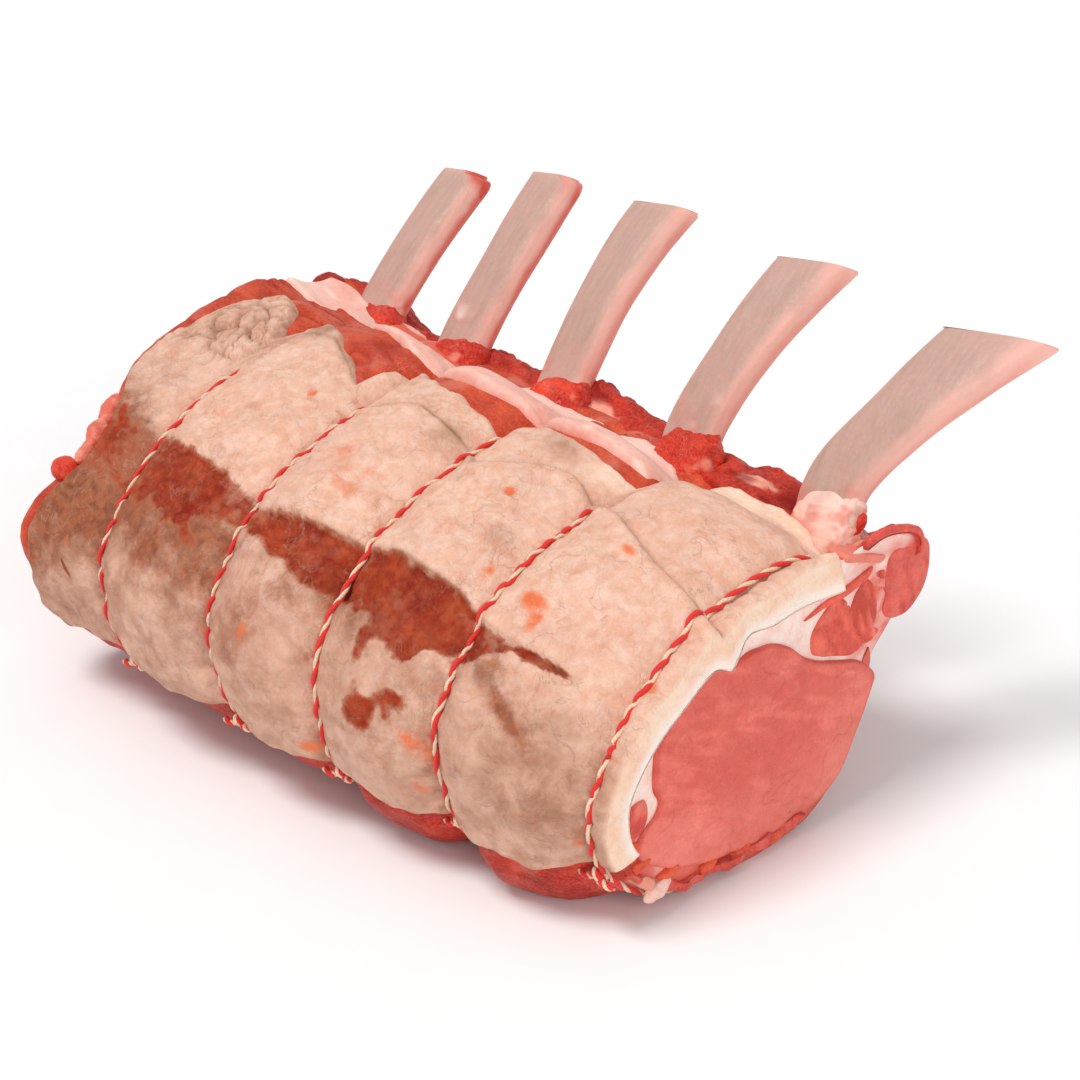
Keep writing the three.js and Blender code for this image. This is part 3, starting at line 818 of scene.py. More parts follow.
def new_material(name):
    """A material with its node helper, its shader and the place on the piece."""
    material = bpy.data.materials.new(name)
    material.use_nodes = True
    tree = material.node_tree
    shader = next(x for x in tree.nodes if x.type == "BSDF_PRINCIPLED")
    n = Nodes(tree)
    return material, n, shader, n.object_space()


def set_surface(n, shader, colour, speckles, roughness):
    """The colour, and a roughness that runs between two values over the speckles."""
    n.link(colour, shader.inputs["Base Color"])
    n.link(n.ranged(speckles, 0, 1, *roughness), shader.inputs["Roughness"])


def bump(n, shader, height, strength, distance):
    node = n.add("Bump")
    node.inputs["Strength"].default_value = strength
    node.inputs["Distance"].default_value = distance
    n.link(height, node.inputs["Height"])
    n.link(node.outputs[0], shader.inputs["Normal"])


def set_flesh(shader, subsurface, scale, gloss):
    """Light that sinks into flesh, and its moist shine."""
    shader.inputs["Subsurface Weight"].default_value = subsurface
    shader.inputs["Subsurface Radius"].default_value = (1.0, 0.35, 0.2)
    shader.inputs["Subsurface Scale"].default_value = scale
    shader.inputs["Specular IOR Level"].default_value = gloss


def frayed_mark(n, frays, name, reach):
    """A mark whose edge is frayed by noise."""
    value = n.mark(name)
    shift = n.ranged(frays, 0.75, 1.25, -reach, reach)
    return n.maths("ADD", value, n.maths("MULTIPLY", shift, n.ranged(value, 0.02, 0.3)))


def outer_fat():
    """Dull fat: cream and peach, with membrane, stains, painted shade in creases and lean that shows
    through.
    """
    material, n, shader, where = new_material("outer_fat")
    broad, broad_specks = mottled(n, where, 38.0, 420.0)
    blotches, specks = mottled(n, where, 105.0, 800.0)
    small, small_specks = mottled(n, where, 290.0, 1800.0)
    veins = thin_lines(n, where, 120.0, 0.012, 0.8)
    wisps = thin_lines(n, where, 75.0, 0.022, 2.2)
    frays = n.maths("ADD", n.noise(where, 260.0, 4.0, 0.7), n.noise(where, 70.0, 3.0))
    # Clean fat: cream to peach.
    colour = n.mix(blotches, (0.81, 0.51, 0.385, 1), (0.73, 0.385, 0.27, 1))
    colour = n.wash(
        colour,
        (broad, 0.4, (0.84, 0.44, 0.29, 1)),
        (small, 0.5, (0.90, 0.68, 0.57, 1)),
        (broad_specks, 0.3, (0.64, 0.37, 0.26, 1)),
        (small_specks, 0.16, (0.58, 0.26, 0.15, 1)),
        (n.mark("pink"), 0.7, (0.68, 0.35, 0.27, 1)))
    # Grey membrane, also painted shade down the lower side, and the olive brown where it has dried
    # over lean, also painted shade beside the ties.
    grey = n.mix(blotches, (0.62, 0.35, 0.25, 1), (0.35, 0.16, 0.10, 1))
    olive = n.mix(small, (0.34, 0.085, 0.03, 1), (0.19, 0.045, 0.018, 1))
    olive = n.wash(olive, (broad_specks, 0.3, (0.46, 0.20, 0.11, 1)))
    dried_and_tie_shade = frayed_mark(n, frays, "brown", 0.25)
    colour = n.wash(colour, (n.mark("grey"), 0.85, grey))
    colour = n.mix(n.ranged(dried_and_tie_shade, 0.0, 1.0, 0.0, 0.92), colour, olive)
    # Bare lean, with a paler edge and wisps of fat across it.
    brown = n.mix(blotches, (0.40, 0.045, 0.012, 1), (0.24, 0.014, 0.006, 1))
    brown = n.wash(
        brown,
        (small, 0.35, (0.48, 0.13, 0.055, 1)),
        (broad_specks, 0.4, (0.15, 0.012, 0.006, 1)))
    bare = frayed_mark(n, frays, "lean", 0.28)
    colour = n.mix(n.ranged(bare, 0.0, 0.5, 0.0, 0.75), colour, (0.42, 0.15, 0.08, 1))
    colour = n.mix(n.ranged(bare, 0.15, 0.95), colour, brown)
    crossed = n.ranged(n.maths("MAXIMUM", bare, dried_and_tie_shade), 0.2, 0.7, 0.0, 0.2)
    colour = n.wash(colour, (wisps, crossed, (0.78, 0.45, 0.32, 1)))
    # Stains, veins, and painted shade in creases, cracks and grooves.
    stained = frayed_mark(n, frays, "stain", 0.35)
    colour = n.mix(n.ranged(stained, 0.1, 1.1, 0.0, 0.9), colour, (0.78, 0.15, 0.04, 1))
    colour = n.wash(colour, (veins, 0.35, (0.40, 0.20, 0.14, 1)))
    painted_crease_shade = n.maths("MULTIPLY", n.mark("crease"), 0.8, clamp=True)
    colour = n.mix(painted_crease_shade, colour, (0.26, 0.10, 0.045, 1))
    # The fresh cut at the near end, whitest on its face.
    fresh = n.mix(n.ranged(frays, 0.8, 1.2), (0.98, 0.74, 0.58, 1), (0.96, 0.62, 0.45, 1))
    fresh = n.mix(n.ranged(n.mark("cut"), 0.45, 1.0), fresh, (1.0, 0.88, 0.80, 1))
    colour = n.mix(n.ranged(n.mark("cut"), 0.0, 0.2, 0.0, 0.95), colour, fresh)
    set_surface(n, shader, colour, specks, (0.48, 0.6))
    height = soft_relief(n, where, 260.0, 1000.0, 0.25)
    height = n.maths("SUBTRACT", height, n.maths("MULTIPLY", veins, 0.3))
    height = n.maths("MULTIPLY_ADD", wisps, 0.25, height)
    bump(n, shader, height, 0.45, 0.0018)
    set_flesh(shader, 0.1, 0.0015, 0.07)
    return material


def pink_fat():
    """Smooth pinkish fat of the strip beside the ribs, with streaks of salmon lean."""
    material, n, shader, where = new_material("pink_fat")
    blotches, specks = mottled(n, where, 70.0, 600.0)
    colour = n.mix(blotches, (0.84, 0.38, 0.30, 1), (0.90, 0.52, 0.43, 1))
    colour = n.wash(
        colour,
        (specks, 0.3, (0.90, 0.60, 0.50, 1)),
        (n.mark("pale"), 0.75, (0.96, 0.66, 0.56, 1)))
    colour = n.mix(n.mark("lean"), colour, (0.72, 0.13, 0.075, 1))
    colour = n.mix(n.mark("grey"), colour, (0.60, 0.44, 0.36, 1))
    set_surface(n, shader, colour, specks, (0.4, 0.55))
    bump(n, shader, soft_relief(n, where, 200.0, 900.0, 0.25), 0.4, 0.0012)
    set_flesh(shader, 0.15, 0.002, 0.3)
    return material


def seam_fat():
    """Soft white fat between the muscles, stained red where lean lies close under it."""
    material, n, shader, where = new_material("seam_fat")
    blotches, specks = mottled(n, where, 150.0, 700.0)
    colour = n.mix(blotches, (0.96, 0.76, 0.68, 1), (0.94, 0.56, 0.47, 1))
    colour = n.wash(colour, (specks, 0.3, (0.97, 0.86, 0.80, 1)))
    colour = n.mix(n.mark("lean"), colour, (0.80, 0.16, 0.12, 1))
    set_surface(n, shader, colour, specks, (0.35, 0.5))
    bump(n, shader, soft_relief(n, where, 300.0, 1200.0, 0.3), 0.4, 0.001)
    set_flesh(shader, 0.2, 0.002, 0.3)
    return material


def lean(name, light, dark, seam, fat, fresh):
    """Moist raw lean: fibres, darker seams between its bundles and a little marbling.

    fresh is its colour where it is cut."""
    material, n, shader, where = new_material(name)
    blotches, specks = mottled(n, where, 85.0, 650.0)
    small, small_specks = mottled(n, where, 240.0, 1300.0)
    bundles = thin_lines(n, where, 45.0, 0.02, 0.4)
    marbling = thin_lines(n, where, 150.0, 0.012, 1.6)
    colour = n.mix(blotches, light, dark)
    colour = n.mix(n.maths("MULTIPLY", n.mark("cut"), 0.95, clamp=True), colour, fresh)
    colour = n.wash(
        colour,
        (blotches, 0.22, seam),
        (small, 0.28, seam),
        (small_specks, 0.14, fat),
        (bundles, 0.22, seam),
        (marbling, 0.35, fat))
    colour = n.mix(n.mark("grey"), colour, fat)
    # Dark strands and patches of the meat, and painted shade in creases, hollows and round a cut face's
    # edge.
    colour = n.mix(n.mark("crease"), colour, seam)
    set_surface(n, shader, colour, specks, (0.32, 0.46))
    height = soft_relief(n, where, 380.0, 1600.0, 0.45)
    height = n.maths("SUBTRACT", height, n.maths("MULTIPLY", bundles, 0.4))
    bump(n, shader, height, 0.5, 0.0012)
    set_flesh(shader, 0.08, 0.0012, 0.12)
    return material


def bone():
    """Scraped rib bone: greyish pink, redder along its edges, with fine lengthwise streaks."""
    material, n, shader, where = new_material("bone")
    blotches, specks = mottled(n, where, 120.0, 900.0)
    streaks = n.noise(n.stretch(where, (700.0, 110.0, 110.0)), 1.0, 4.0, 0.6)
    colour = n.mix(n.ranged(streaks, 0.25, 0.75), (0.47, 0.285, 0.225, 1), (0.55, 0.36, 0.29, 1))
    colour = n.wash(
        colour,
        (blotches, 0.6, (0.61, 0.34, 0.28, 1)),
        (specks, 0.4, (0.46, 0.30, 0.26, 1)))
    colour = n.mix(n.mark("pink"), colour, (0.92, 0.50, 0.41, 1))
    colour = n.mix(n.mark("lean"), colour, (0.66, 0.06, 0.03, 1))
    colour = n.mix(n.mark("grey"), colour, (0.90, 0.72, 0.64, 1))
    set_surface(n, shader, colour, specks, (0.4, 0.55))
    bump(n, shader, n.maths("MULTIPLY_ADD", specks, 0.3, streaks), 0.3, 0.0005)
    set_flesh(shader, 0.08, 0.0015, 0.3)
    return material


def twine_ply(name, shaded, lit):
    """One cotton ply of the twine, with its fine fibres."""
    material, n, shader, where = new_material(name)
    fibre = n.noise(where, 2600.0, 3.0, 0.6)
    n.link(n.mix(n.ranged(fibre, 0.3, 0.7), shaded, lit), shader.inputs["Base Color"])
    n.link(n.ranged(fibre, 0.3, 0.7, 0.7, 0.9), shader.inputs["Roughness"])
    bump(n, shader, fibre, 0.5, 0.0003)
    shader.inputs["Sheen Weight"].default_value = 0.2
    return material


# ---- materials --------------------------------------------------------------------------------------
OUTER_FAT, PINK_FAT, SEAM_FAT, BONE = outer_fat(), pink_fat(), seam_fat(), bone()
EYE_LEAN = lean(
    "eye_lean", light=(0.62, 0.10, 0.07, 1), dark=(0.50, 0.06, 0.035, 1), seam=(0.58, 0.07, 0.05, 1),
    fat=(0.98, 0.40, 0.32, 1), fresh=(0.91, 0.19, 0.145, 1))
DARK_LEAN = lean(
    "dark_lean", light=(0.64, 0.03, 0.01, 1), dark=(0.42, 0.014, 0.006, 1), seam=(0.24, 0.008, 0.005, 1),
    fat=(0.86, 0.36, 0.27, 1), fresh=(0.94, 0.125, 0.095, 1))
CAP_LEAN = lean(
    "cap_lean", light=(0.68, 0.08, 0.024, 1), dark=(0.54, 0.045, 0.014, 1), seam=(0.36, 0.02, 0.008, 1),
    fat=(0.86, 0.40, 0.30, 1), fresh=(0.97, 0.13, 0.085, 1))
TORN_LEAN = lean(
    "torn_lean", light=(0.78, 0.05, 0.02, 1), dark=(0.56, 0.018, 0.008, 1), seam=(0.30, 0.01, 0.006, 1),
    fat=(0.92, 0.38, 0.27, 1), fresh=(1.0, 0.15, 0.06, 1))
RED_PLY = twine_ply("red_ply", (0.62, 0.012, 0.008, 1), (0.80, 0.03, 0.018, 1))
CREAM_PLY = twine_ply("cream_ply", (0.68, 0.44, 0.28, 1), (0.90, 0.70, 0.50, 1))


# ---- pieces -----------------------------------------------------------------------------------------
def with_marks(shell, marks):
    """The shell with marks of its own instead of its places on the skin."""
    points, faces, own = shell
    own = {**own, **marks}
    for unused in ("s", "a"):
        own.pop(unused, None)
    return points, faces, own


CORE_NEAR = -1.1                # the near face of the seam fat
CORE_FAR = -LENGTH + 1.2        # and its far face


def core_marks(points):
    """Where the seam fat is red: torn lean beside the flap, and a stain along the foot."""
    y, z = points[:, 1], points[:, 2]
    ragged = noise(points, 3.0, seed=95)
    fin = smooth(-19, -12, y) * smooth(43, 48, z + 1.5 * ragged) * smooth(75, 71.5, z + 1.2 * ragged)
    white = bell(y, -18, 7) * bell(z, 69, 2.6) + bell(y, -3, 4) * bell(z, 69.5, 1.6)
    flecked = 0.62 + 0.35 * smooth(0.2, -0.4, noise(points, 1.8, seed=97))
    fin = fin * flecked * (1 - np.clip(white, 0, 0.9))
    low = np.maximum(smooth(27, 23, z + 2 * ragged) * smooth(-84, -90, y), smooth(13.5, 11, z))
    return {"lean": np.clip(np.maximum(fin, low), 0, 1)}


def make_core():
    """Seam fat: the whole body a little inside its surface, seen wherever two muscles part."""
    s = np.concatenate([np.linspace(CORE_FAR, -LENGTH + 12, 10), np.linspace(-196, -5, 90),
                        np.linspace(-4, CORE_NEAR, 4)])[:, None]
    a = np.linspace(0, GIRTH, 241)[None, :-1]
    side = skin(s, a, -2.2 - 1.6 * smooth(-4, -10, s))
    ends = []
    for row, outwards in ((side[0], 1), (side[-1], -1)):
        cap, _ = closing_rings(row, 25)
        cap[..., 0] -= 0.35 * noise(cap, 4.0, seed=91) * outwards
        ends.append(cap)
    points = np.concatenate([ends[0][::-1], side, ends[1]], 0)
    rows, columns = points.shape[:2]
    points = points.reshape(-1, 3)
    shell = (points, grid_faces(rows, columns, closed=True), core_marks(points))
    make_piece("seam_fat_core", shell, SEAM_FAT, ["seam_fat"])


def cap_thick(s, a):
    """The fat cap is thicker where its upper sheet ends on the cut face and where the lower one curls in."""
    tongue = 3.0 * smooth(114, 124, a) * smooth(166, 154, a)
    curl = 5.0 * bell(a, 173.5, 4.0)
    return 7.5 + (tongue + curl) * smooth(-9, -2, s)


def cap_near(a):
    """On the cut face the lower sheet stands a little in front of the upper one."""
    return -0.2 + 1.0 * smooth(171.5, 174.5, a) + 1.0 * bell(a, 170, 3.5)


def make_fat_cap():
    shell = layer(-209, 0.0, cap_top, cap_low, 215, cap_lift, cap_thick, step=0.72, near_round=2.0,
                  far_round=3.5, edge=3.2, far_edge=cap_far, near_edge=cap_near)
    s, a = shell[2]["s"], shell[2]["a"]
    from_top = a - cap_top(s) + 3 * flat_noise(s, a, 9, 5, 3, seed=195)
    pale_rim = 0.13 * smooth(13, 5, from_top) * smooth(-62, -50, s)
    shell[2]["cut"] = np.maximum(shell[2]["cut"], pale_rim)
    make_piece("fat_cap_sheet", with_marks(shell, cap_marks(s, a)), OUTER_FAT, ["fat_cap"])


FAR_RISE = 5.8     # how far the top of the far end stands up


def strip_lift(s, a):
    """How far the pink strip stands above the skin: a pillow between each two ties."""
    pillow = 2.6 * stretch(s)[1] * smooth(-176, -160, s) * smooth(0, 13, a - follow(STRIP_HIGH, s))
    broad = 0.8 * flat_noise(s, a, 12, 9, 3, seed=101)
    fine = 0.15 * flat_noise(s, a, 3, 3, 2, seed=103)
    return (-1.4 + pillow + broad + fine + FAR_RISE * bell(s, -204, 9)
            - 0.7 * puckers(s, a) - 1.2 * near_tie(s, 2.5))


def make_fat_strip():
    shell = layer(-207, -46.6, strip_high, strip_low, 60, strip_lift, even(4.2), step=0.75,
                  near_cut=False, near_round=3.5, far_round=4, edge=2.4)
    s, a = shell[2]["s"], shell[2]["a"]
    stripe_at = 110.5 + 6 * smooth(-168, -145, s)
    stripe = smooth(-136, -146, s) * bell(a, stripe_at, 4.6) * smooth(-188, -180, s)
    ragged = flat_noise(s, a, 6, 3, 3, seed=107)
    marks = {
        "lean": np.clip(smooth(0.35, 0.6, stripe * (1 + 0.5 * ragged)), 0, 1),
        "grey": 0.5 * np.clip(blob(s, a, -160, 131, 7, 5) + blob(s, a, -182, 118, 8, 5), 0, 1),
        "pale": np.clip(smooth(0.1, 0.6, ragged) + smooth(-126, -116, s) * smooth(140, 128, a)
                        + blob(s, a, -202, 128, 9, 9), 0, 1),
    }
    make_piece("fat_strip_sheet", with_marks(shell, marks), PINK_FAT, ["fat_strip"])


def face_relief(seed):
    """Roughness of a cut muscle face: shallow tears and bundles."""
    def relief(yz):
        at = np.concatenate([yz, np.zeros(yz.shape[:2] + (1,))], -1)
        return 0.22 * layered(at, 9.0, 3, seed) - 0.25 * ridged(layered(at, 14.0, 2, seed + 3), 3)
    return relief


def cap_muscle_creases(s, a, sharp):
    return ridged(flat_noise(s, a, 14, 7, 2, seed=117), sharp)


def cap_muscle_lift(s, a):
    """How far the rib cap muscle stands up: most where the gap of the fat shows it."""
    open_part = smooth(-120, -135, s) * smooth(112, 122, a) * smooth(166, 150, a)
    rolled = 0.6 * bell(s, -205, 5.5) * smooth(206, 190, a)
    return (-1.7 + 1.1 * open_part + lean_fibres(s, a, 111) - 1.2 * near_tie(s, 3.0)
            + rolled + 0.7 * FAR_RISE * bell(s, -205, 8) * smooth(150, 128, a)
            - 1.2 * cap_muscle_creases(s, a, 3) * open_part)


def make_cap_muscle():
    """Rib cap muscle: seen between the fat cap and the strip, and on the cut face."""
    shell = layer(-209.5, -44, straight(106), lambda s: 243 - 73 * smooth(-194, -174, s), 100,
                  cap_muscle_lift, even(5), step=1.1, near_cut=False, far_round=5)
    s, a = shell[2]["s"], shell[2]["a"]
    # Painted shade in the creases of the open part, and dark streaks along the muscle.
    crease = cap_muscle_creases(s, a, 4) * smooth(-120, -135, s)
    marks = {
        "grey": 0.25 * smooth(0.2, 0.6, flat_noise(s, a, 9, 7, 3, seed=119)),
        "crease": 0.7 * crease + 0.35 * smooth(0.2, 0.6, flat_noise(s, a, 14, 2.5, 3, seed=118)),
        "cut": 0 * s,
    }
    parts = [
        with_marks(shell, marks),
        plug(CAP_FACE, (-21, 56), end=-0.8, dome=0.5, edge=0.6, depth=10, relief=face_relief(121),
             grain=strands(123, -60, 6, 2.2, 0.35, 0.15)),
        plug(MIDDLE_FACE, (-8.6, 58), end=-1.0, dome=0.2, edge=0.5, depth=8, relief=face_relief(127),
             grain=strands(129, -68, 9, 1.5, 0.55, 0.45)),
        plug(STREAK, (-22, 66.2), end=-0.5, dome=0.1, edge=0.3, depth=5, rings=10),
        plug(SALMON_STREAK, (-11, 73.6), end=-0.5, dome=0.1, edge=0.3, depth=5, rings=10,
             grain=lambda yz: {"grey": np.full(yz.shape[:2], 0.4)}),
        plug(CAP_BACK, (-35, 66), end=-LENGTH + 0.6, outwards=-1, dome=0.6, edge=1.2, depth=8,
             relief=face_relief(125))]
    make_piece("rib_cap_muscle_lean", joined(parts), CAP_LEAN, ["rib_cap_muscle"])


def rib_station(rib):
    """The place along the roast at which a rib leaves the ridge."""
    return rib["x"] + LEAN_BACK * RIB_ROW_Z * (1 - math.exp(rib["x"] / LEAN_LENGTH))


def fillets(s, a):
    """Meat drawn up against both sides of every rib."""
    total = 0
    for rib in RIBS:
        past = s - rib_station(rib)
        half = rib["width"] / 2
        right = rib["drawn"] * np.exp(-np.maximum(0, past - half + 1) / 3.0) * smooth(0, half, past)
        left = 4.6 * np.exp(-np.maximum(0, -past - half) / 3.0) * smooth(0, half, -past)
        total = total + right + left
    return total * bell(a, 99, 8.5) * (1 + 0.35 * flat_noise(s, a, 4, 4, 3, seed=189))


# Outlines on the cut face, as (y, z).
EYE_FACE = [
    (-71, 67.6), (-68.3, 65), (-65.5, 62.6), (-61, 61.9), (-55, 63), (-46, 61.6), (-40, 58.4), (-35, 54),
    (-29, 50.4), (-20, 47), (-13, 44.6), (-7.8, 41), (-4.6, 36.8), (-7.0, 29.8), (-11.2, 21.8), (-16.2, 13),
    (-22.2, 8.2), (-31, 6), (-36, 4.4), (-43, 4.4), (-57, 5.6), (-72, 7.8), (-84, 10.8), (-92, 14.6),
    (-97.6, 18.8), (-98.6, 22.6), (-95.6, 26.6), (-91, 29.6), (-89.6, 33), (-91.4, 37), (-91.8, 44),
    (-90.8, 50), (-87.5, 55.5), (-82, 61), (-76, 65.3)]
CAP_FACE = [
    (-31, 52.8), (-32, 57), (-29.5, 61), (-26, 64), (-22.5, 65.8), (-18.5, 64.2), (-15.5, 60.5),
    (-14.5, 56), (-12.5, 52), (-9.5, 49.8), (-10, 47.6), (-14.5, 46.4), (-22, 48.8), (-27.5, 50.6)]
MIDDLE_FACE = [    # the muscle between the rib cap and the flap
    (-16.5, 60), (-14, 64.6), (-8.4, 67.6), (-2.6, 67.6), (-1.0, 62), (-1.4, 56), (-2.6, 50),
    (-6.6, 47.4), (-12.4, 49.4), (-15.4, 55)]
CAP_BACK = [       # the rib cap at the far end
    (-66, 66), (-50, 70), (-30, 74), (-10, 76), (0, 70), (-3, 62), (-12, 55), (-26, 58), (-44, 65)]
STREAK = [         # thin streaks of lean in the white fat
    (-35, 64), (-28, 66.4), (-22, 67.2), (-15, 68.8), (-8, 70.2), (-9.4, 68), (-15, 66.2),
    (-21, 65.2), (-28, 65)]
SALMON_STREAK = [
    (-19, 76.6), (-12, 75.2), (-6.4, 73.2), (-3, 71.4), (-4.6, 70.4), (-9.4, 71.8), (-15, 73.8),
    (-19.4, 75.4)]
FLAP_FACE = [      # the flap of the ridge
    (-1, 69.8), (-2.2, 66), (-2, 62), (-1.8, 58.4), (-2.6, 55.4), (0.6, 51.8), (8.0, 50.8),
    (14.0, 54.8), (16.8, 60.6), (17.0, 66.6), (14.8, 70.6), (7, 71.2), (2, 71.6)]
SIDE_FACE = [      # the small muscle in the fat low on the left
    (-103.4, 28), (-102, 33), (-99, 35.6), (-94.6, 36), (-93.4, 31), (-95, 27.6), (-99.5, 25),
    (-102.8, 25.4)]


def strands(seed, way, long, wide, dark, pale):
    """Strands in a cut muscle: way is the angle of their run, dark and pale how strongly they show."""
    c, d = math.cos(math.radians(way)), math.sin(math.radians(way))

    def marks(yz):
        u = yz[..., 0] * c + yz[..., 1] * d
        v = yz[..., 1] * c - yz[..., 0] * d
        fibre = flat_noise(u, v, long, wide, 3, seed)
        broad = flat_noise(u, v, 2.5 * long, 2.5 * long, 2, seed + 7)
        return {"crease": dark * smooth(-0.15, 0.45, broad - 0.7 * fibre),
                "grey": pale * smooth(-0.1, 0.5, 0.6 * fibre - broad)}
    return marks


def eye_strands(yz):
    """Broad grain of the eye: a darker top, a paler foot and short pale squiggles."""
    marks = strands(133, -25, 9, 2.4, 0.4, 0.08)(yz)
    low = smooth(34, 12, yz[..., 1]) + 0.6 * smooth(-34, -14, yz[..., 0]) * smooth(50, 36, yz[..., 1])
    squiggle = ridged(flat_noise(yz[..., 0], yz[..., 1], 9, 4, 2, 145), 12)
    patch = smooth(0.1, 0.5, flat_noise(yz[..., 0], yz[..., 1], 14, 10, 2, 149))
    marks["grey"] = np.clip(marks["grey"] + 0.2 * low + 0.4 * squiggle * patch, 0, 1)
    marks["crease"] = np.clip(marks["crease"] - 0.2 * low, 0, 1)
    return marks


def eye_side_lift(s, a):
    near = 2.2 * smooth(-30, -4, s) * smooth(54, 45, a)
    return -0.4 + near + lean_fibres(s, a, 141) - 0.8 * near_tie(s, 2.5)


def make_eye():
    """Eye of the loin: its domed cut face, its bare side below the ribs, and its far end."""
    middle = (-50, 33)
    face = plug(EYE_FACE, middle, dome=1.4, edge=0.8, rings=64, steps=7, depth=14,
                relief=face_relief(131), grain=eye_strands, dark_rim=0.35)
    back = plug(EYE_FACE, middle, end=-LENGTH + 0.4, outwards=-1, dome=1.5, edge=1.8, rings=40, steps=5,
                depth=10, relief=face_relief(137))
    side = layer(-LENGTH + 0.5, -1.2, straight(-26), straight(54), 70, eye_side_lift, even(5),
                 step=1.2, near_round=1.6, far_round=4)
    s, a = side[2]["s"], side[2]["a"]
    patches = smooth(0.1, 0.5, flat_noise(s, a, 18, 10, 3, seed=147))
    marks = {"grey": 0.55 * patches * smooth(8, 20, a) * smooth(-5, -20, s)}
    make_piece("eye_of_loin_lean", joined([face, back, with_marks(side, marks)]), EYE_LEAN,
               ["eye_of_loin"])


UNDER_SWELL = [    # how far the lean below the fat swells out: (s, lift)
    (-120, 0), (-95, 0.5), (-72, 0.6), (-60, -0.8), (-50, -2.4), (-40, -0.6), (-32, 0.6),
    (-24, -0.8), (-14, -1.6), (0, -1)]


def under_lift(s, a):
    free = smooth(248, 256, a) * smooth(285, 268, a)
    rim = smooth(-14, -4, s) * smooth(252, 262, a)
    return (-1.6 + free * (0.6 + follow(UNDER_SWELL, s) + 1.1 * flat_noise(s, a, 9, 6, 3, seed=151))
            + rim * (0.6 + 1.6 * flat_noise(s, a, 5, 6, 3, seed=155)) + 0.3 * lean_fibres(s, a, 153))


def under_thick(s, a):
    return 3.6 + smooth(-8, -1, s) * (0.8 + 2.0 * flat_noise(0 * s, a, 1, 5, 3, seed=159))


def under_near(a):
    return 0.2 + 1.3 * flat_noise(0 * a, a, 1, 4, 3, seed=165)


def make_under_lean():
    """Lean under the foot and along the lower edge of the fat, with its rim at the cut face."""
    shell = layer(-LENGTH + 1, 0.2, straight(246), straight(GIRTH + 4), 120, under_lift, under_thick,
                  step=0.9, near_round=1.6, far_round=4, near_edge=under_near)
    s, a = shell[2]["s"], shell[2]["a"]
    near_rim = smooth(-16, -3, s) * smooth(252, 260, a)
    fatty = smooth(0.25, 0.6, flat_noise(s, a, 8, 4, 3, seed=157))
    cream = blob(s, a, 0, 268, 9, 7)
    marks = {
        "grey": np.clip(0.18 * fatty + 0.9 * smooth(0.4, 0.6, cream), 0, 1),
        "cut": np.clip(0.9 * near_rim, 0, 1),
    }
    face = plug(SIDE_FACE, (-98.4, 30.4), end=-0.6, dome=0.4, edge=0.6, depth=10, relief=face_relief(161),
                grain=strands(163, 60, 6, 2.0, 0.4, 0.4))
    make_piece("under_lean_layer", joined([with_marks(shell, marks), face]), DARK_LEAN, ["under_lean"])


def rim_lift(s, a):
    """How far the lean of the ridge stands up: torn lumps between the ribs, drawn up at their feet."""
    torn = smooth(78, 90, a) * smooth(-6, -14, s)
    humps = (2.6 * bell(s, -88, 14) + 2.6 * bell(s, -36, 9) - 2.4 * bell(s, -182, 9)
             + 1.5 * bell(s, -140, 14))
    raised = bell(a, 98, 9) * humps
    knobs = 0.9 * np.abs(flat_noise(s, a, 3.5, 3, 2, seed=175))
    lumps = 1.2 * flat_noise(s, a, 6, 4, 3, seed=173) + knobs
    lumps = lumps + fillets(s, a) + FAR_RISE * bell(s, -207, 7) * bell(a, 112, 10)
    fin = 3.2 * smooth(-18, -6, s) * bell(a, 63, 13)
    return (-0.9 + fin + (1 + torn) * 0.6 * lean_fibres(s, a, 171) + torn * lumps + raised
            - 2.0 * blob(s, a, -22, 111, 5, 4) - 2.2 * smooth(103, 109, a) * smooth(-46, -56, s)
            - 0.8 * near_tie(s, 3.0))


def rim_thick(s, a):
    return 4.5 - 1.5 * smooth(-8, -2, s) * smooth(78, 88, a)


def rim_near(a):
    return 0.1 - 4.0 * smooth(86, 80, a)


def make_rim_lean():
    """Lean of the ridge between the ribs and down the bone side, with the flap at the cut face."""
    shell = layer(-LENGTH + 1, -0.3, straight(52), straight(119), 130, rim_lift, rim_thick,
                  step=0.8, near_round=1.0, far_round=4, edge=2.6, near_edge=rim_near)
    s, a = shell[2]["s"], shell[2]["a"]
    white = smooth(0.15, 0.5, flat_noise(s, a, 12, 7, 3, seed=179))
    ragged = flat_noise(s, a, 5, 3, 3, seed=185)
    ridge_fat = (0.9 * blob(s, a, -38, 110, 7, 3.4) + blob(s, a, -10, 108, 8, 9)
                 + 0.8 * blob(s, a, -96, 108, 10, 3))
    shown = smooth(0.35, 0.6, ridge_fat * (1 + 0.6 * ragged)) * smooth(-2.0, -3.4, s)
    dark = smooth(0.1, 0.6, flat_noise(s, a, 9, 5, 3, seed=181))
    # Dark patches of the meat, and painted shade in the hollow beside the near rib's foot.
    marks = {
        "grey": np.clip(0.5 * white * smooth(84, 70, a) + shown, 0, 1),
        "crease": 0.7 * dark * smooth(-8, -18, s) + 0.95 * blob(s, a, -24, 108, 6, 6),
        "cut": 0.8 * smooth(-13, -3, s) * smooth(72, 84, a),
    }
    face = plug(FLAP_FACE, (5.5, 62.5), end=-0.8, dome=0.5, edge=0.6, depth=9, relief=face_relief(183),
                grain=strands(187, -70, 7, 2.0, 0.3, 0.12))
    make_piece("rim_lean_layer", joined([with_marks(shell, marks), face]), DARK_LEAN, ["rim_lean"])


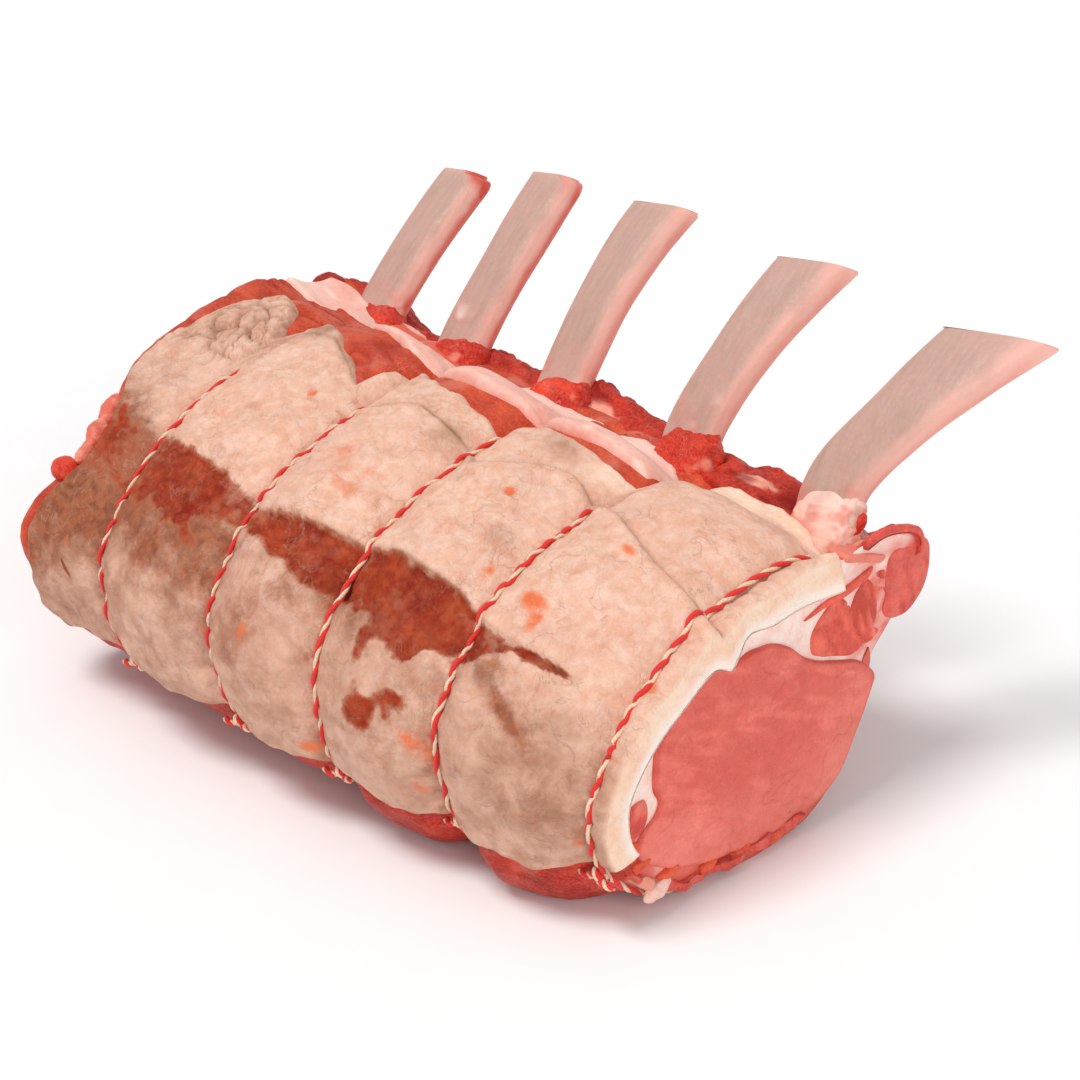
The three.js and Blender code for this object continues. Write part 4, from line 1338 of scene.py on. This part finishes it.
# ---- rib bones --------------------------------------------------------------------------------------
# x is the middle of the foot and tip the way from there to the tip. width and thick are the section's,
# flare is how much wider the tip is, bow the bend as a share of the length, worn how rounded and stained
# the tip is, red how red its far edge is, drawn how high meat is drawn up on its near side, and corner
# how much is rounded off the tip's near corner.
RIBS = [
    dict(x=-204.2, tip=(-0.2, 38.2, 35.0), width=16.4, thick=10.5, flare=1.04, bow=0.03,
         worn=1.0, red=0.8, drawn=0.2, corner=4.6),
    dict(x=-165.4, tip=(0.2, 39.3, 42.3), width=16.6, thick=10.5, flare=1.06, bow=0.02,
         worn=0.35, red=0.8, drawn=0.8, corner=3.8),
    dict(x=-122.0, tip=(0, 40.6, 42.5), width=16.2, thick=10.5, flare=1.2, bow=0.06,
         worn=0.1, red=0.5, drawn=6.0, corner=1.2),
    dict(x=-71.0, tip=(9.8, 37.2, 41.2), width=16.6, thick=10.6, flare=1.27, bow=0.06,
         worn=0.1, red=0.35, drawn=0.6, corner=0.6),
    dict(x=-19.9, tip=(20.8, 37.7, 36.6), width=18.2, thick=10.8, flare=1.38, bow=0.06,
         worn=0.05, red=0.3, drawn=2.2, corner=0.8),
]
HIDDEN_RIB = ((-23, 14), (-15, 29), (-11, 43), (-9, 56), (-7.5, 70))    # its run in the meat, as (y, z)
BOW_WAY = np.array([0, -0.707, 0.707])
TIP_CUT = np.array([-0.15, 0.45, 0.88])     # which way the sawn tips face
SQUARENESS = 0.62                           # of the ribs' section: 1 is an ellipse, 0 a rectangle
TIP_RINGS = 11                              # rings that close each end of a rib


def rib_foot(rib):
    return np.array([rib["x"], 0, RIB_ROW_Z])


def rib_path(rib):
    """The middle line of a rib, from inside the meat to past its tip, and the tip."""
    hidden = [place(rib_station(rib), y, z) for y, z in HIDDEN_RIB]
    foot = rib_foot(rib)
    tip = np.array(rib["tip"], float)
    bow = BOW_WAY * np.linalg.norm(tip) * rib["bow"]
    bare = [foot + tip * t + bow * 4 * t * (1 - t) for t in (0.4, 0.8, 1.2)]
    return np.array([*hidden, foot, *bare]), foot + tip


def rib_rings(rib, t, sides, flare=1.0, waist=0.0):
    """Rings of points round a rib at t of its path, with what it takes to work on them.

    right is 1 on the near side and -1 on the far one, back 1 on the side away from the fat."""
    at, along = open_curve(rib_path(rib)[0], t)
    along = unit(along)
    wide = unit(np.array([1.0, 0, 0]) - along * along[:, :1])
    thick = np.cross(along, wide)
    angle = np.linspace(0, 2 * np.pi, sides + 1)[:-1]
    c, d = np.cos(angle), np.sin(angle)
    flare = flare + 0 * t
    half_width = (rib["width"] / 2 * flare)[:, None]
    half_thick = (rib["thick"] / 2 * (1 + 0.4 * (flare - 1)))[:, None]
    across = half_width * np.sign(c) * np.abs(c) ** SQUARENESS
    deep = half_thick * np.sign(d) * np.abs(d) ** SQUARENESS * (1 - waist * np.cos(2 * angle) ** 2)
    points = at[:, None] + wide[:, None] * across[..., None] + thick[:, None] * deep[..., None]
    return SimpleNamespace(points=points, out=unit(points - at[:, None]), along=along, wide=wide,
                           across=across, deep=deep, right=c, back=d)


def saw_off(rib, ring, points):
    """The sawn end: every point past the cut comes back to it along the bone."""
    cut = unit(TIP_CUT)
    tip = rib_path(rib)[1]
    reach = np.clip((points - tip) @ cut / (1.5 * rib["corner"]) + 1, 0, 1)
    corner = rib["corner"] * (1 - np.sqrt(1 - reach ** 2)) * smooth(-0.2, 0.8, ring.right)
    points = points - ring.wide[:, None] * corner[..., None]
    past = (points - tip) @ cut
    edge = 1.3 + 4.5 * rib["worn"]
    soft = np.where(past > -edge, -edge + edge * np.tanh((past + edge) / edge), past)
    slope = np.maximum((ring.along @ cut)[:, None], 0.2)
    return points + ring.along[:, None] * ((soft - past) / slope)[..., None], past


def rib_marks(number, rib, ring, points, t, past, share):
    """Where a rib is pink, red or pale. share is how far in each ring of its sawn face has come."""
    rows, columns = points.shape[:2]
    none = np.zeros(TIP_RINGS)
    t = np.concatenate([none, t, none + 1])[:, None]
    to_middle = np.concatenate([np.zeros(rows - TIP_RINGS), share[:, 0, 0]])[:, None]
    at_tip = np.concatenate([none, smooth(-4, -0.4, past).mean(1), none + 1])[:, None]
    side = np.abs(np.broadcast_to(ring.right[None, :], (rows, columns))) * (1 - smooth(0, 0.15, to_middle))
    sponge = smooth(0.15, 0.4, to_middle) * (0.35 + 0.5 * smooth(-0.2, 0.4, noise(points, 1.3, seed=231)))
    blotch = layered(points, 8.0, 3, seed=221 + number)
    foot_red = smooth(0.70, 0.61, t) * smooth(-0.1, 0.4, blotch + 0.2 * side)
    far_edge = smooth(-0.12, 0.12, ring.back + 0.15 * blotch) * smooth(0.2, 0.6, ring.right)
    tip_stain = smooth(0.3, 0.8, ring.right + 0.3 * blotch) * smooth(0.89, 0.925, t)
    foot_pale = smooth(0.12, 0.5, blotch) * bell(t, 0.64, 0.04)
    rim_pale = smooth(0.0, 0.06, to_middle) * smooth(0.3, 0.15, to_middle)
    marks = {
        "pink": np.clip(0.9 * smooth(0.5, 1.05, side + 0.15 * blotch) + 0.2 * at_tip, 0, 1),
        "lean": np.clip(0.4 * foot_red + rib["red"] * far_edge * smooth(0.97, 0.9, t)
                        + 0.9 * rib["worn"] * tip_stain + 0.5 * sponge, 0, 1),
        "grey": np.clip(0.8 * foot_pale + 0.55 * rim_pale
                        + 0.4 * at_tip * smooth(0.15, 0.4, sponge + 0.2), 0, 1),
    }
    return {name: np.broadcast_to(value, (rows, columns)).ravel() for name, value in marks.items()}


def make_rib(number, rib):
    """A frenched rib: flared towards its sawn tip, with a spongy cut face."""
    t = np.concatenate([np.linspace(0, 0.6, 60), np.linspace(0.6, 1, 130)[1:]])
    flare = (0.86 + 0.14 * smooth(0.3, 0.6, t)) * (1 + (rib["flare"] - 1) * smooth(0.70, 0.96, t))
    ring = rib_rings(rib, t, 56, flare, waist=0.10)
    along_grain = np.broadcast_to(t[:, None] * 30, ring.across.shape)
    grain = np.stack([ring.across, ring.deep, along_grain], -1)
    rough = 0.30 * layered(grain + 40 * number, 3.0, 3, seed=201 + number)
    points, past = saw_off(rib, ring, ring.points + ring.out * rough[..., None])
    face, share = closing_rings(points[-1], TIP_RINGS)
    pits = 0.5 * noise(face, 1.6, seed=211)[..., None] * np.minimum(1, share * 3)
    root, _ = closing_rings(points[0], TIP_RINGS)
    points = np.concatenate([root[::-1], points, face - unit(TIP_CUT) * pits])
    marks = rib_marks(number, rib, ring, points, t, past, share)
    shell = (points.reshape(-1, 3), grid_faces(*points.shape[:2], closed=True), marks)
    make_piece(f"rib_bone_{number}", shell, BONE, [f"rib_{number}"])


def foot_tissue(number, rib):
    """A ragged sleeve of tissue left on the foot of a rib, higher on its near side."""
    pale = rib is RIBS[-1]
    t = np.linspace(0.42, 0.70, 64)
    ring = rib_rings(rib, t, 72)
    ragged = layered(ring.points, 4.5, 3, seed=451 + number)
    top = 0.612 + 0.022 * ring.right + (0.008 if pale else 0.018) * ragged
    t = t[:, None]
    bulk = (1.6 if pale else 2.5) * smooth(top + 0.012, top - 0.06, t)
    lift = bulk - 1.0 - 2 * smooth(0.636, 0.66, t)
    knobs = 0.9 * np.abs(noise(ring.points, 1.6, 461 + number)) * smooth(-0.6, 0.4, lift)
    points = ring.points + ring.out * (lift + knobs)[..., None]
    return points.reshape(-1, 3), grid_faces(*points.shape[:2], closed=True), {
        "grey": 0.5 * smooth(0.3, 0.6, layered(points, 5.0, 2, 471 + number)).ravel(),
        "pale": np.full(points[..., 0].size, 0.8),
        "lean": 0.6 * smooth(0.0, 0.4, layered(points, 4.0, 3, 481 + number)).ravel()}


# ---- twine ------------------------------------------------------------------------------------------
TWINE_END = [168, 163.5, 153, 160.5, 130.6]   # girth at which each tie slips under the fat, going up
PLY_RADII = (0.74, 0.56)                      # the red ply and the cream one
PLY_OFFSET = 0.32                             # from the middle of the twine to that of a ply
PLY_STEP = 0.55                               # distance between the rings of a ply
TWIST = 8.4                                   # length of one turn of the two plies
KNOT_GIRTH = 254.0
KNOT_SIZE = 0.95
UP = np.array([0.31, 0.22, 0.93])             # no stretch of twine runs this way


def across_path(path):
    """Two directions square to a path at each of its points."""
    along = unit(np.gradient(path, axis=0))
    side = unit(np.cross(along, UP))
    return side, np.cross(along, side)


def circled(path, radius, angle):
    """Points at an angle round a path."""
    side, other = across_path(path)
    return path + radius * (side * np.cos(angle)[:, None] + other * np.sin(angle)[:, None])


def tube(path, radius, sides=8):
    """A tube along a list of points."""
    angle = np.linspace(0, 2 * np.pi, sides + 1)[:-1]
    side, other = across_path(path)
    points = path[:, None] + radius * (
        side[:, None] * np.cos(angle)[None, :, None] + other[:, None] * np.sin(angle)[None, :, None])
    return points.reshape(-1, 3), grid_faces(len(path), sides, closed=True), {}


def plies(path):
    """The two twisted plies that follow a path: red and cream."""
    length = np.concatenate([[0], np.cumsum(np.linalg.norm(np.diff(path, axis=0), axis=1))])
    stops = np.linspace(0, length[-1], int(length[-1] / PLY_STEP))
    path = np.stack([np.interp(stops, length, path[:, k]) for k in range(3)], 1)
    turns = max(1, round(length[-1] / TWIST))
    angle = 2 * np.pi * turns * stops / length[-1]
    return [tube(circled(path, PLY_OFFSET, angle + start), radius)
            for start, radius in zip((0, math.pi), PLY_RADII)]


def tie_path(number, tie):
    """Round the roast on top of the fat, and hidden under it from the ridge to where it comes out."""
    a = np.linspace(0, GIRTH, 500)[:-1]
    fat_side = smooth(TWINE_END[number - 1] - 3.5, TWINE_END[number - 1] + 3.5, a)
    hidden = smooth(70, 80, a) * (1 - fat_side)
    sag = 0.5 * flat_noise(a, 0 * a, 40, 1, 2, seed=231 + number)
    base = cap_lift(tie + 0 * a, a) * smooth(118, 140, a) * smooth(252, 244, a)
    lift = 0.7 + np.maximum(base, -1.1) * fat_side - 5.5 * hidden
    shift = 1.5 * smooth(172, 200, a) if tie == LOOPS[-1] else 0
    path = skin(tie + 0.9 * sag + shift, a, lift)
    path[:, 2] = np.maximum(path[:, 2], 1.2)
    return np.vstack([path, path[:1]])


def knot_paths(number, tie):
    """A small trefoil knot on the tie, and its two tails."""
    at = skin(tie, KNOT_GIRTH, 2.2)
    out = unit(at - skin(tie, KNOT_GIRTH, 0))
    round_it = unit(skin(tie, KNOT_GIRTH + 1, 0) - skin(tie, KNOT_GIRTH, 0))
    across = np.cross(out, round_it)
    t = np.linspace(0, 2 * np.pi, 140)[:, None]
    knot = at + KNOT_SIZE * ((np.sin(t) + 2 * np.sin(2 * t)) * across * 0.9
                             + (np.cos(t) - 2 * np.cos(2 * t)) * round_it * 0.75
                             + 0.9 * -np.sin(3 * t) * out)
    paths = [np.vstack([knot, knot[:1]])]
    rng = np.random.default_rng(40 + number)
    for way in (-1, 1):
        u = np.linspace(0, 1, 30)[:, None]
        length = 3.5 + 2.5 * rng.random()
        tail = (at + across * way * (1.5 + length * 0.8 * u) + out * (0.6 + 0.8 * np.sin(3 * u))
                + round_it * length * 0.35 * u * rng.uniform(-1, 0.6))
        tail[:, 2] = np.maximum(tail[:, 2], 1.3)
        paths.append(tail)
    return paths


def make_twine(number, tie):
    """One tie: a loop with its knot and tails, its red plies first and then its cream ones."""
    strings = [plies(path) for path in [tie_path(number, tie), *knot_paths(number, tie)]]
    red, cream = joined([red for red, _ in strings]), joined([cream for _, cream in strings])
    piece = make_piece(f"tie_{number}", joined([red, cream]), RED_PLY, [f"twine_{number}"])
    piece.data.materials.append(CREAM_PLY)
    index = np.zeros(len(piece.data.polygons), np.int32)
    index[len(red[1]):] = 1
    piece.data.polygons.foreach_set("material_index", index)


# ---- torn meat and membrane -------------------------------------------------------------------------
def lump(at, size, seed, coarse=(1.5, 4.0), fine=(0.45, 1.5), turn=(1, 0, 0), sides=56):
    """A knobbly lump. coarse and fine are its bumps as (height, size); turn is its long axis."""
    v = np.linspace(0.02, np.pi - 0.02, sides // 2)[:, None]
    h = np.linspace(0, 2 * np.pi, sides + 1)[None, :-1]
    ball = np.stack([np.sin(v) * np.cos(h), np.sin(v) * np.sin(h), np.cos(v) + 0 * h], -1)
    x = unit(np.array(turn, float))
    z = unit(np.cross(x, [0.1, 0.9, 0.3]))
    axes = np.stack([x, np.cross(z, x), z])
    core = (ball * np.array(size, float)) @ axes
    out = unit((ball / np.array(size, float)) @ axes)
    spot = core + 50.0 * seed
    swell = coarse[0] * layered(spot, coarse[1], 2, seed) + fine[0] * np.abs(noise(spot, fine[1], seed + 3))
    points = np.array(at, float) + core + out * swell[..., None]
    rows, columns = points.shape[:2]
    return points.reshape(-1, 3), grid_faces(rows, columns, closed=True), {"cut": np.zeros(rows * columns)}


def marked(shell, **marks):
    """A shell with more marks, each one number or one for every point."""
    more = {name: value + np.zeros(len(shell[0])) for name, value in marks.items()}
    return shell[0], shell[1], {**shell[2], **more}


KNOBBLY = dict(coarse=(0.9, 2.8), fine=(0.6, 1.1))
FAR_KNOBS = dict(coarse=(0.9, 4.0), fine=(0.3, 1.5))


def foot_meat():
    """Two lumps of torn meat at the foot of each rib: one up its near side and one in front of it."""
    parts = []
    for k, rib in enumerate(RIBS):
        foot = rib_foot(rib)
        half = rib["width"] / 2
        low = 2.0 if rib is RIBS[-1] else 0
        parts.append(lump(foot + [half + 0.2, -4.2, -6.4 - low], (4.4, 2.2, 2.0), 321 + k,
                          coarse=(1.1, 2.8), fine=(0.6, 1.1), turn=(0.25, 0.62, 0.74)))
        parts.append(lump(foot + [half * 0.3, -5.6, -10.5], (5.0, 1.6, 1.8), 331 + k, **KNOBBLY))
    return parts


def far_end_meat():
    """Pinkish strips of tissue that hang over the far end, a red nub below them and a dark lump above."""
    parts = []
    for k, (s, a, size) in enumerate([(-205.5, 195, 5.2), (-205.5, 202, 5.6), (-203, 207, 4.4)]):
        along = skin(s, a + 1.0, 0) - skin(s, a, 0)
        strip = lump(skin(s, a, -0.6), (size, 2.6, 2.0), 431 + k, turn=along, **FAR_KNOBS)
        parts.append(marked(strip, grey=0.35 + 0.4 * smooth(-0.2, 0.4, noise(strip[0], 2.2, 447))))
    nub = lump(skin(-205.0, 213.0, -0.8), (4.6, 3.4, 3.4), 441, coarse=(0.9, 4.0), fine=(0.25, 1.5))
    dark = lump(skin(-208.0, 112, 0.6), (6.6, 5.0, 3.6), 443, coarse=(1.0, 5.0), fine=(0.25, 1.6))
    return [*parts, nub, marked(dark, crease=0.75)]


# Trimmings along the lower edge of the cut face: (y, z, length).
TRIMMINGS = [(-101, 22.5, 3.6), (-97.5, 16.6, 4.4), (-86, 9.6, 5.4), (-69, 6.2, 3.4), (-58, 4.6, 6.0),
             (-43, 3.8, 4.0)]


def face_trimmings():
    parts = []
    for k, (y, z, length) in enumerate(TRIMMINGS):
        at = on_section(np.array(-1.0), np.array([y, z], float))
        bit = lump(at, (1.7, length, 1.6), 401 + k, coarse=(0.7, 2.6), fine=(0.3, 1.4))
        parts.append(marked(bit, cut=0.9))
    return parts


def near_foot_membrane():
    """Pale tissue in front of the foot of the near rib."""
    foot = rib_foot(RIBS[-1])
    parts = []
    for k, (dx, dy, dz, size) in enumerate([(-6.0, -4.2, -7.6, 2.9), (1, -7.0, -10.0, 3.2),
                                            (7.0, -5.0, -10.0, 2.6)]):
        bit = lump(foot + [dx, dy, dz], np.array([1.5, 0.5, 0.8]) * size, 371 + k, coarse=(1.2, 2.8),
                   fine=(0.7, 1.1), turn=(0.7, 0.2, 0.4))
        parts.append(marked(bit, pale=0.8, lean=0.6 * smooth(0.0, 0.5, layered(bit[0], 4.0, 2, seed=391))))
    return parts


def cream_tip():
    """The end of the fat that curls out below the cut face."""
    at = on_section(np.array(-0.2), np.array([-90.0, 7.0]))
    tip = lump(at, (1.6, 5.0, 2.6), 409, coarse=(0.8, 3.0), fine=(0.3, 1.4))
    return marked(tip, pale=0.8, lean=0.5 * smooth(0.0, 0.5, layered(tip[0], 4.0, 2, seed=393)))


def make_torn_meat():
    sleeves = [foot_tissue(k, rib) for k, rib in enumerate(RIBS[:-1], 1)]
    parts = [*foot_meat(), *far_end_meat(), *face_trimmings(), *sleeves]
    make_piece("torn_meat", joined(parts), TORN_LEAN, [])


def make_membrane():
    parts = [*near_foot_membrane(), cream_tip(), foot_tissue(len(RIBS), RIBS[-1])]
    make_piece("rib_foot_membrane", joined(parts), PINK_FAT, [])


# ---- stage ------------------------------------------------------------------------------------------
FLOOR = 4.0     # half its width


def make_floor():
    mesh = bpy.data.meshes.new("floor")
    corners = [(-FLOOR, -FLOOR, 0), (FLOOR, -FLOOR, 0), (FLOOR, FLOOR, 0), (-FLOOR, FLOOR, 0)]
    mesh.from_pydata(corners, [], [(0, 1, 2, 3)])
    material, n, shader, where = new_material("pale_floor")
    grain = n.noise(where, 40.0, 2.0)
    n.link(n.mix(grain, (0.90, 0.90, 0.90, 1), (0.93, 0.93, 0.93, 1)), shader.inputs["Base Color"])
    shader.inputs["Roughness"].default_value = 0.8
    shader.inputs["Specular IOR Level"].default_value = 0.1
    mesh.materials.append(material)
    floor = bpy.data.objects.new("floor", mesh)
    bpy.context.scene.collection.objects.link(floor)


def sun_light(name, aim, power, spread):
    """A soft light from far away; spread is how wide it looks, in degrees."""
    light = bpy.data.lights.new(name, "SUN")
    light.energy = power
    light.angle = math.radians(spread)
    lamp = bpy.data.objects.new(name, light)
    lamp.rotation_euler = Vector(aim).to_track_quat("-Z", "Y").to_euler()
    bpy.context.scene.collection.objects.link(lamp)


def make_studio():
    """A white room that looks brighter than it lights, and two soft lights."""
    world = bpy.data.worlds.new("studio")
    world.use_nodes = True
    background = next(x for x in world.node_tree.nodes if x.type == "BACKGROUND")
    background.inputs["Color"].default_value = (1, 1, 1, 1)
    seen = world.node_tree.nodes.new("ShaderNodeLightPath").outputs["Is Camera Ray"]
    strength = world.node_tree.nodes.new("ShaderNodeMapRange")
    strength.inputs["To Min"].default_value = 0.52
    strength.inputs["To Max"].default_value = 0.93
    world.node_tree.links.new(seen, strength.inputs["Value"])
    world.node_tree.links.new(strength.outputs[0], background.inputs["Strength"])
    bpy.context.scene.world = world
    sun_light("key", (0.15, 0.45, -1.0), 1.8, 22)
    sun_light("fill", (-1.0, 0.35, -0.45), 0.8, 40)


CAMERA_AZIMUTH = 46
CAMERA_ELEVATION = 26
CAMERA_AT = (0.44637, -0.41443, 0.3495)
LENS = 80
FILM_WIDTH = 36


def make_camera():
    data = bpy.data.cameras.new("camera")
    data.lens = LENS
    data.sensor_width = FILM_WIDTH
    camera = bpy.data.objects.new("camera", data)
    camera.location = CAMERA_AT
    camera.rotation_euler = (math.radians(90 - CAMERA_ELEVATION), 0, math.radians(CAMERA_AZIMUTH))
    bpy.context.scene.collection.objects.link(camera)
    bpy.context.scene.camera = camera


make_core()
make_fat_cap()
make_fat_strip()
make_cap_muscle()
make_eye()
make_under_lean()
make_rim_lean()
for count, rib_size in enumerate(RIBS, 1):
    make_rib(count, rib_size)
for count, tie_place in enumerate(LOOPS, 1):
    make_twine(count, tie_place)
make_torn_meat()
make_membrane()
make_floor()
make_studio()
make_camera()
bpy.context.scene.view_settings.view_transform = "Standard"
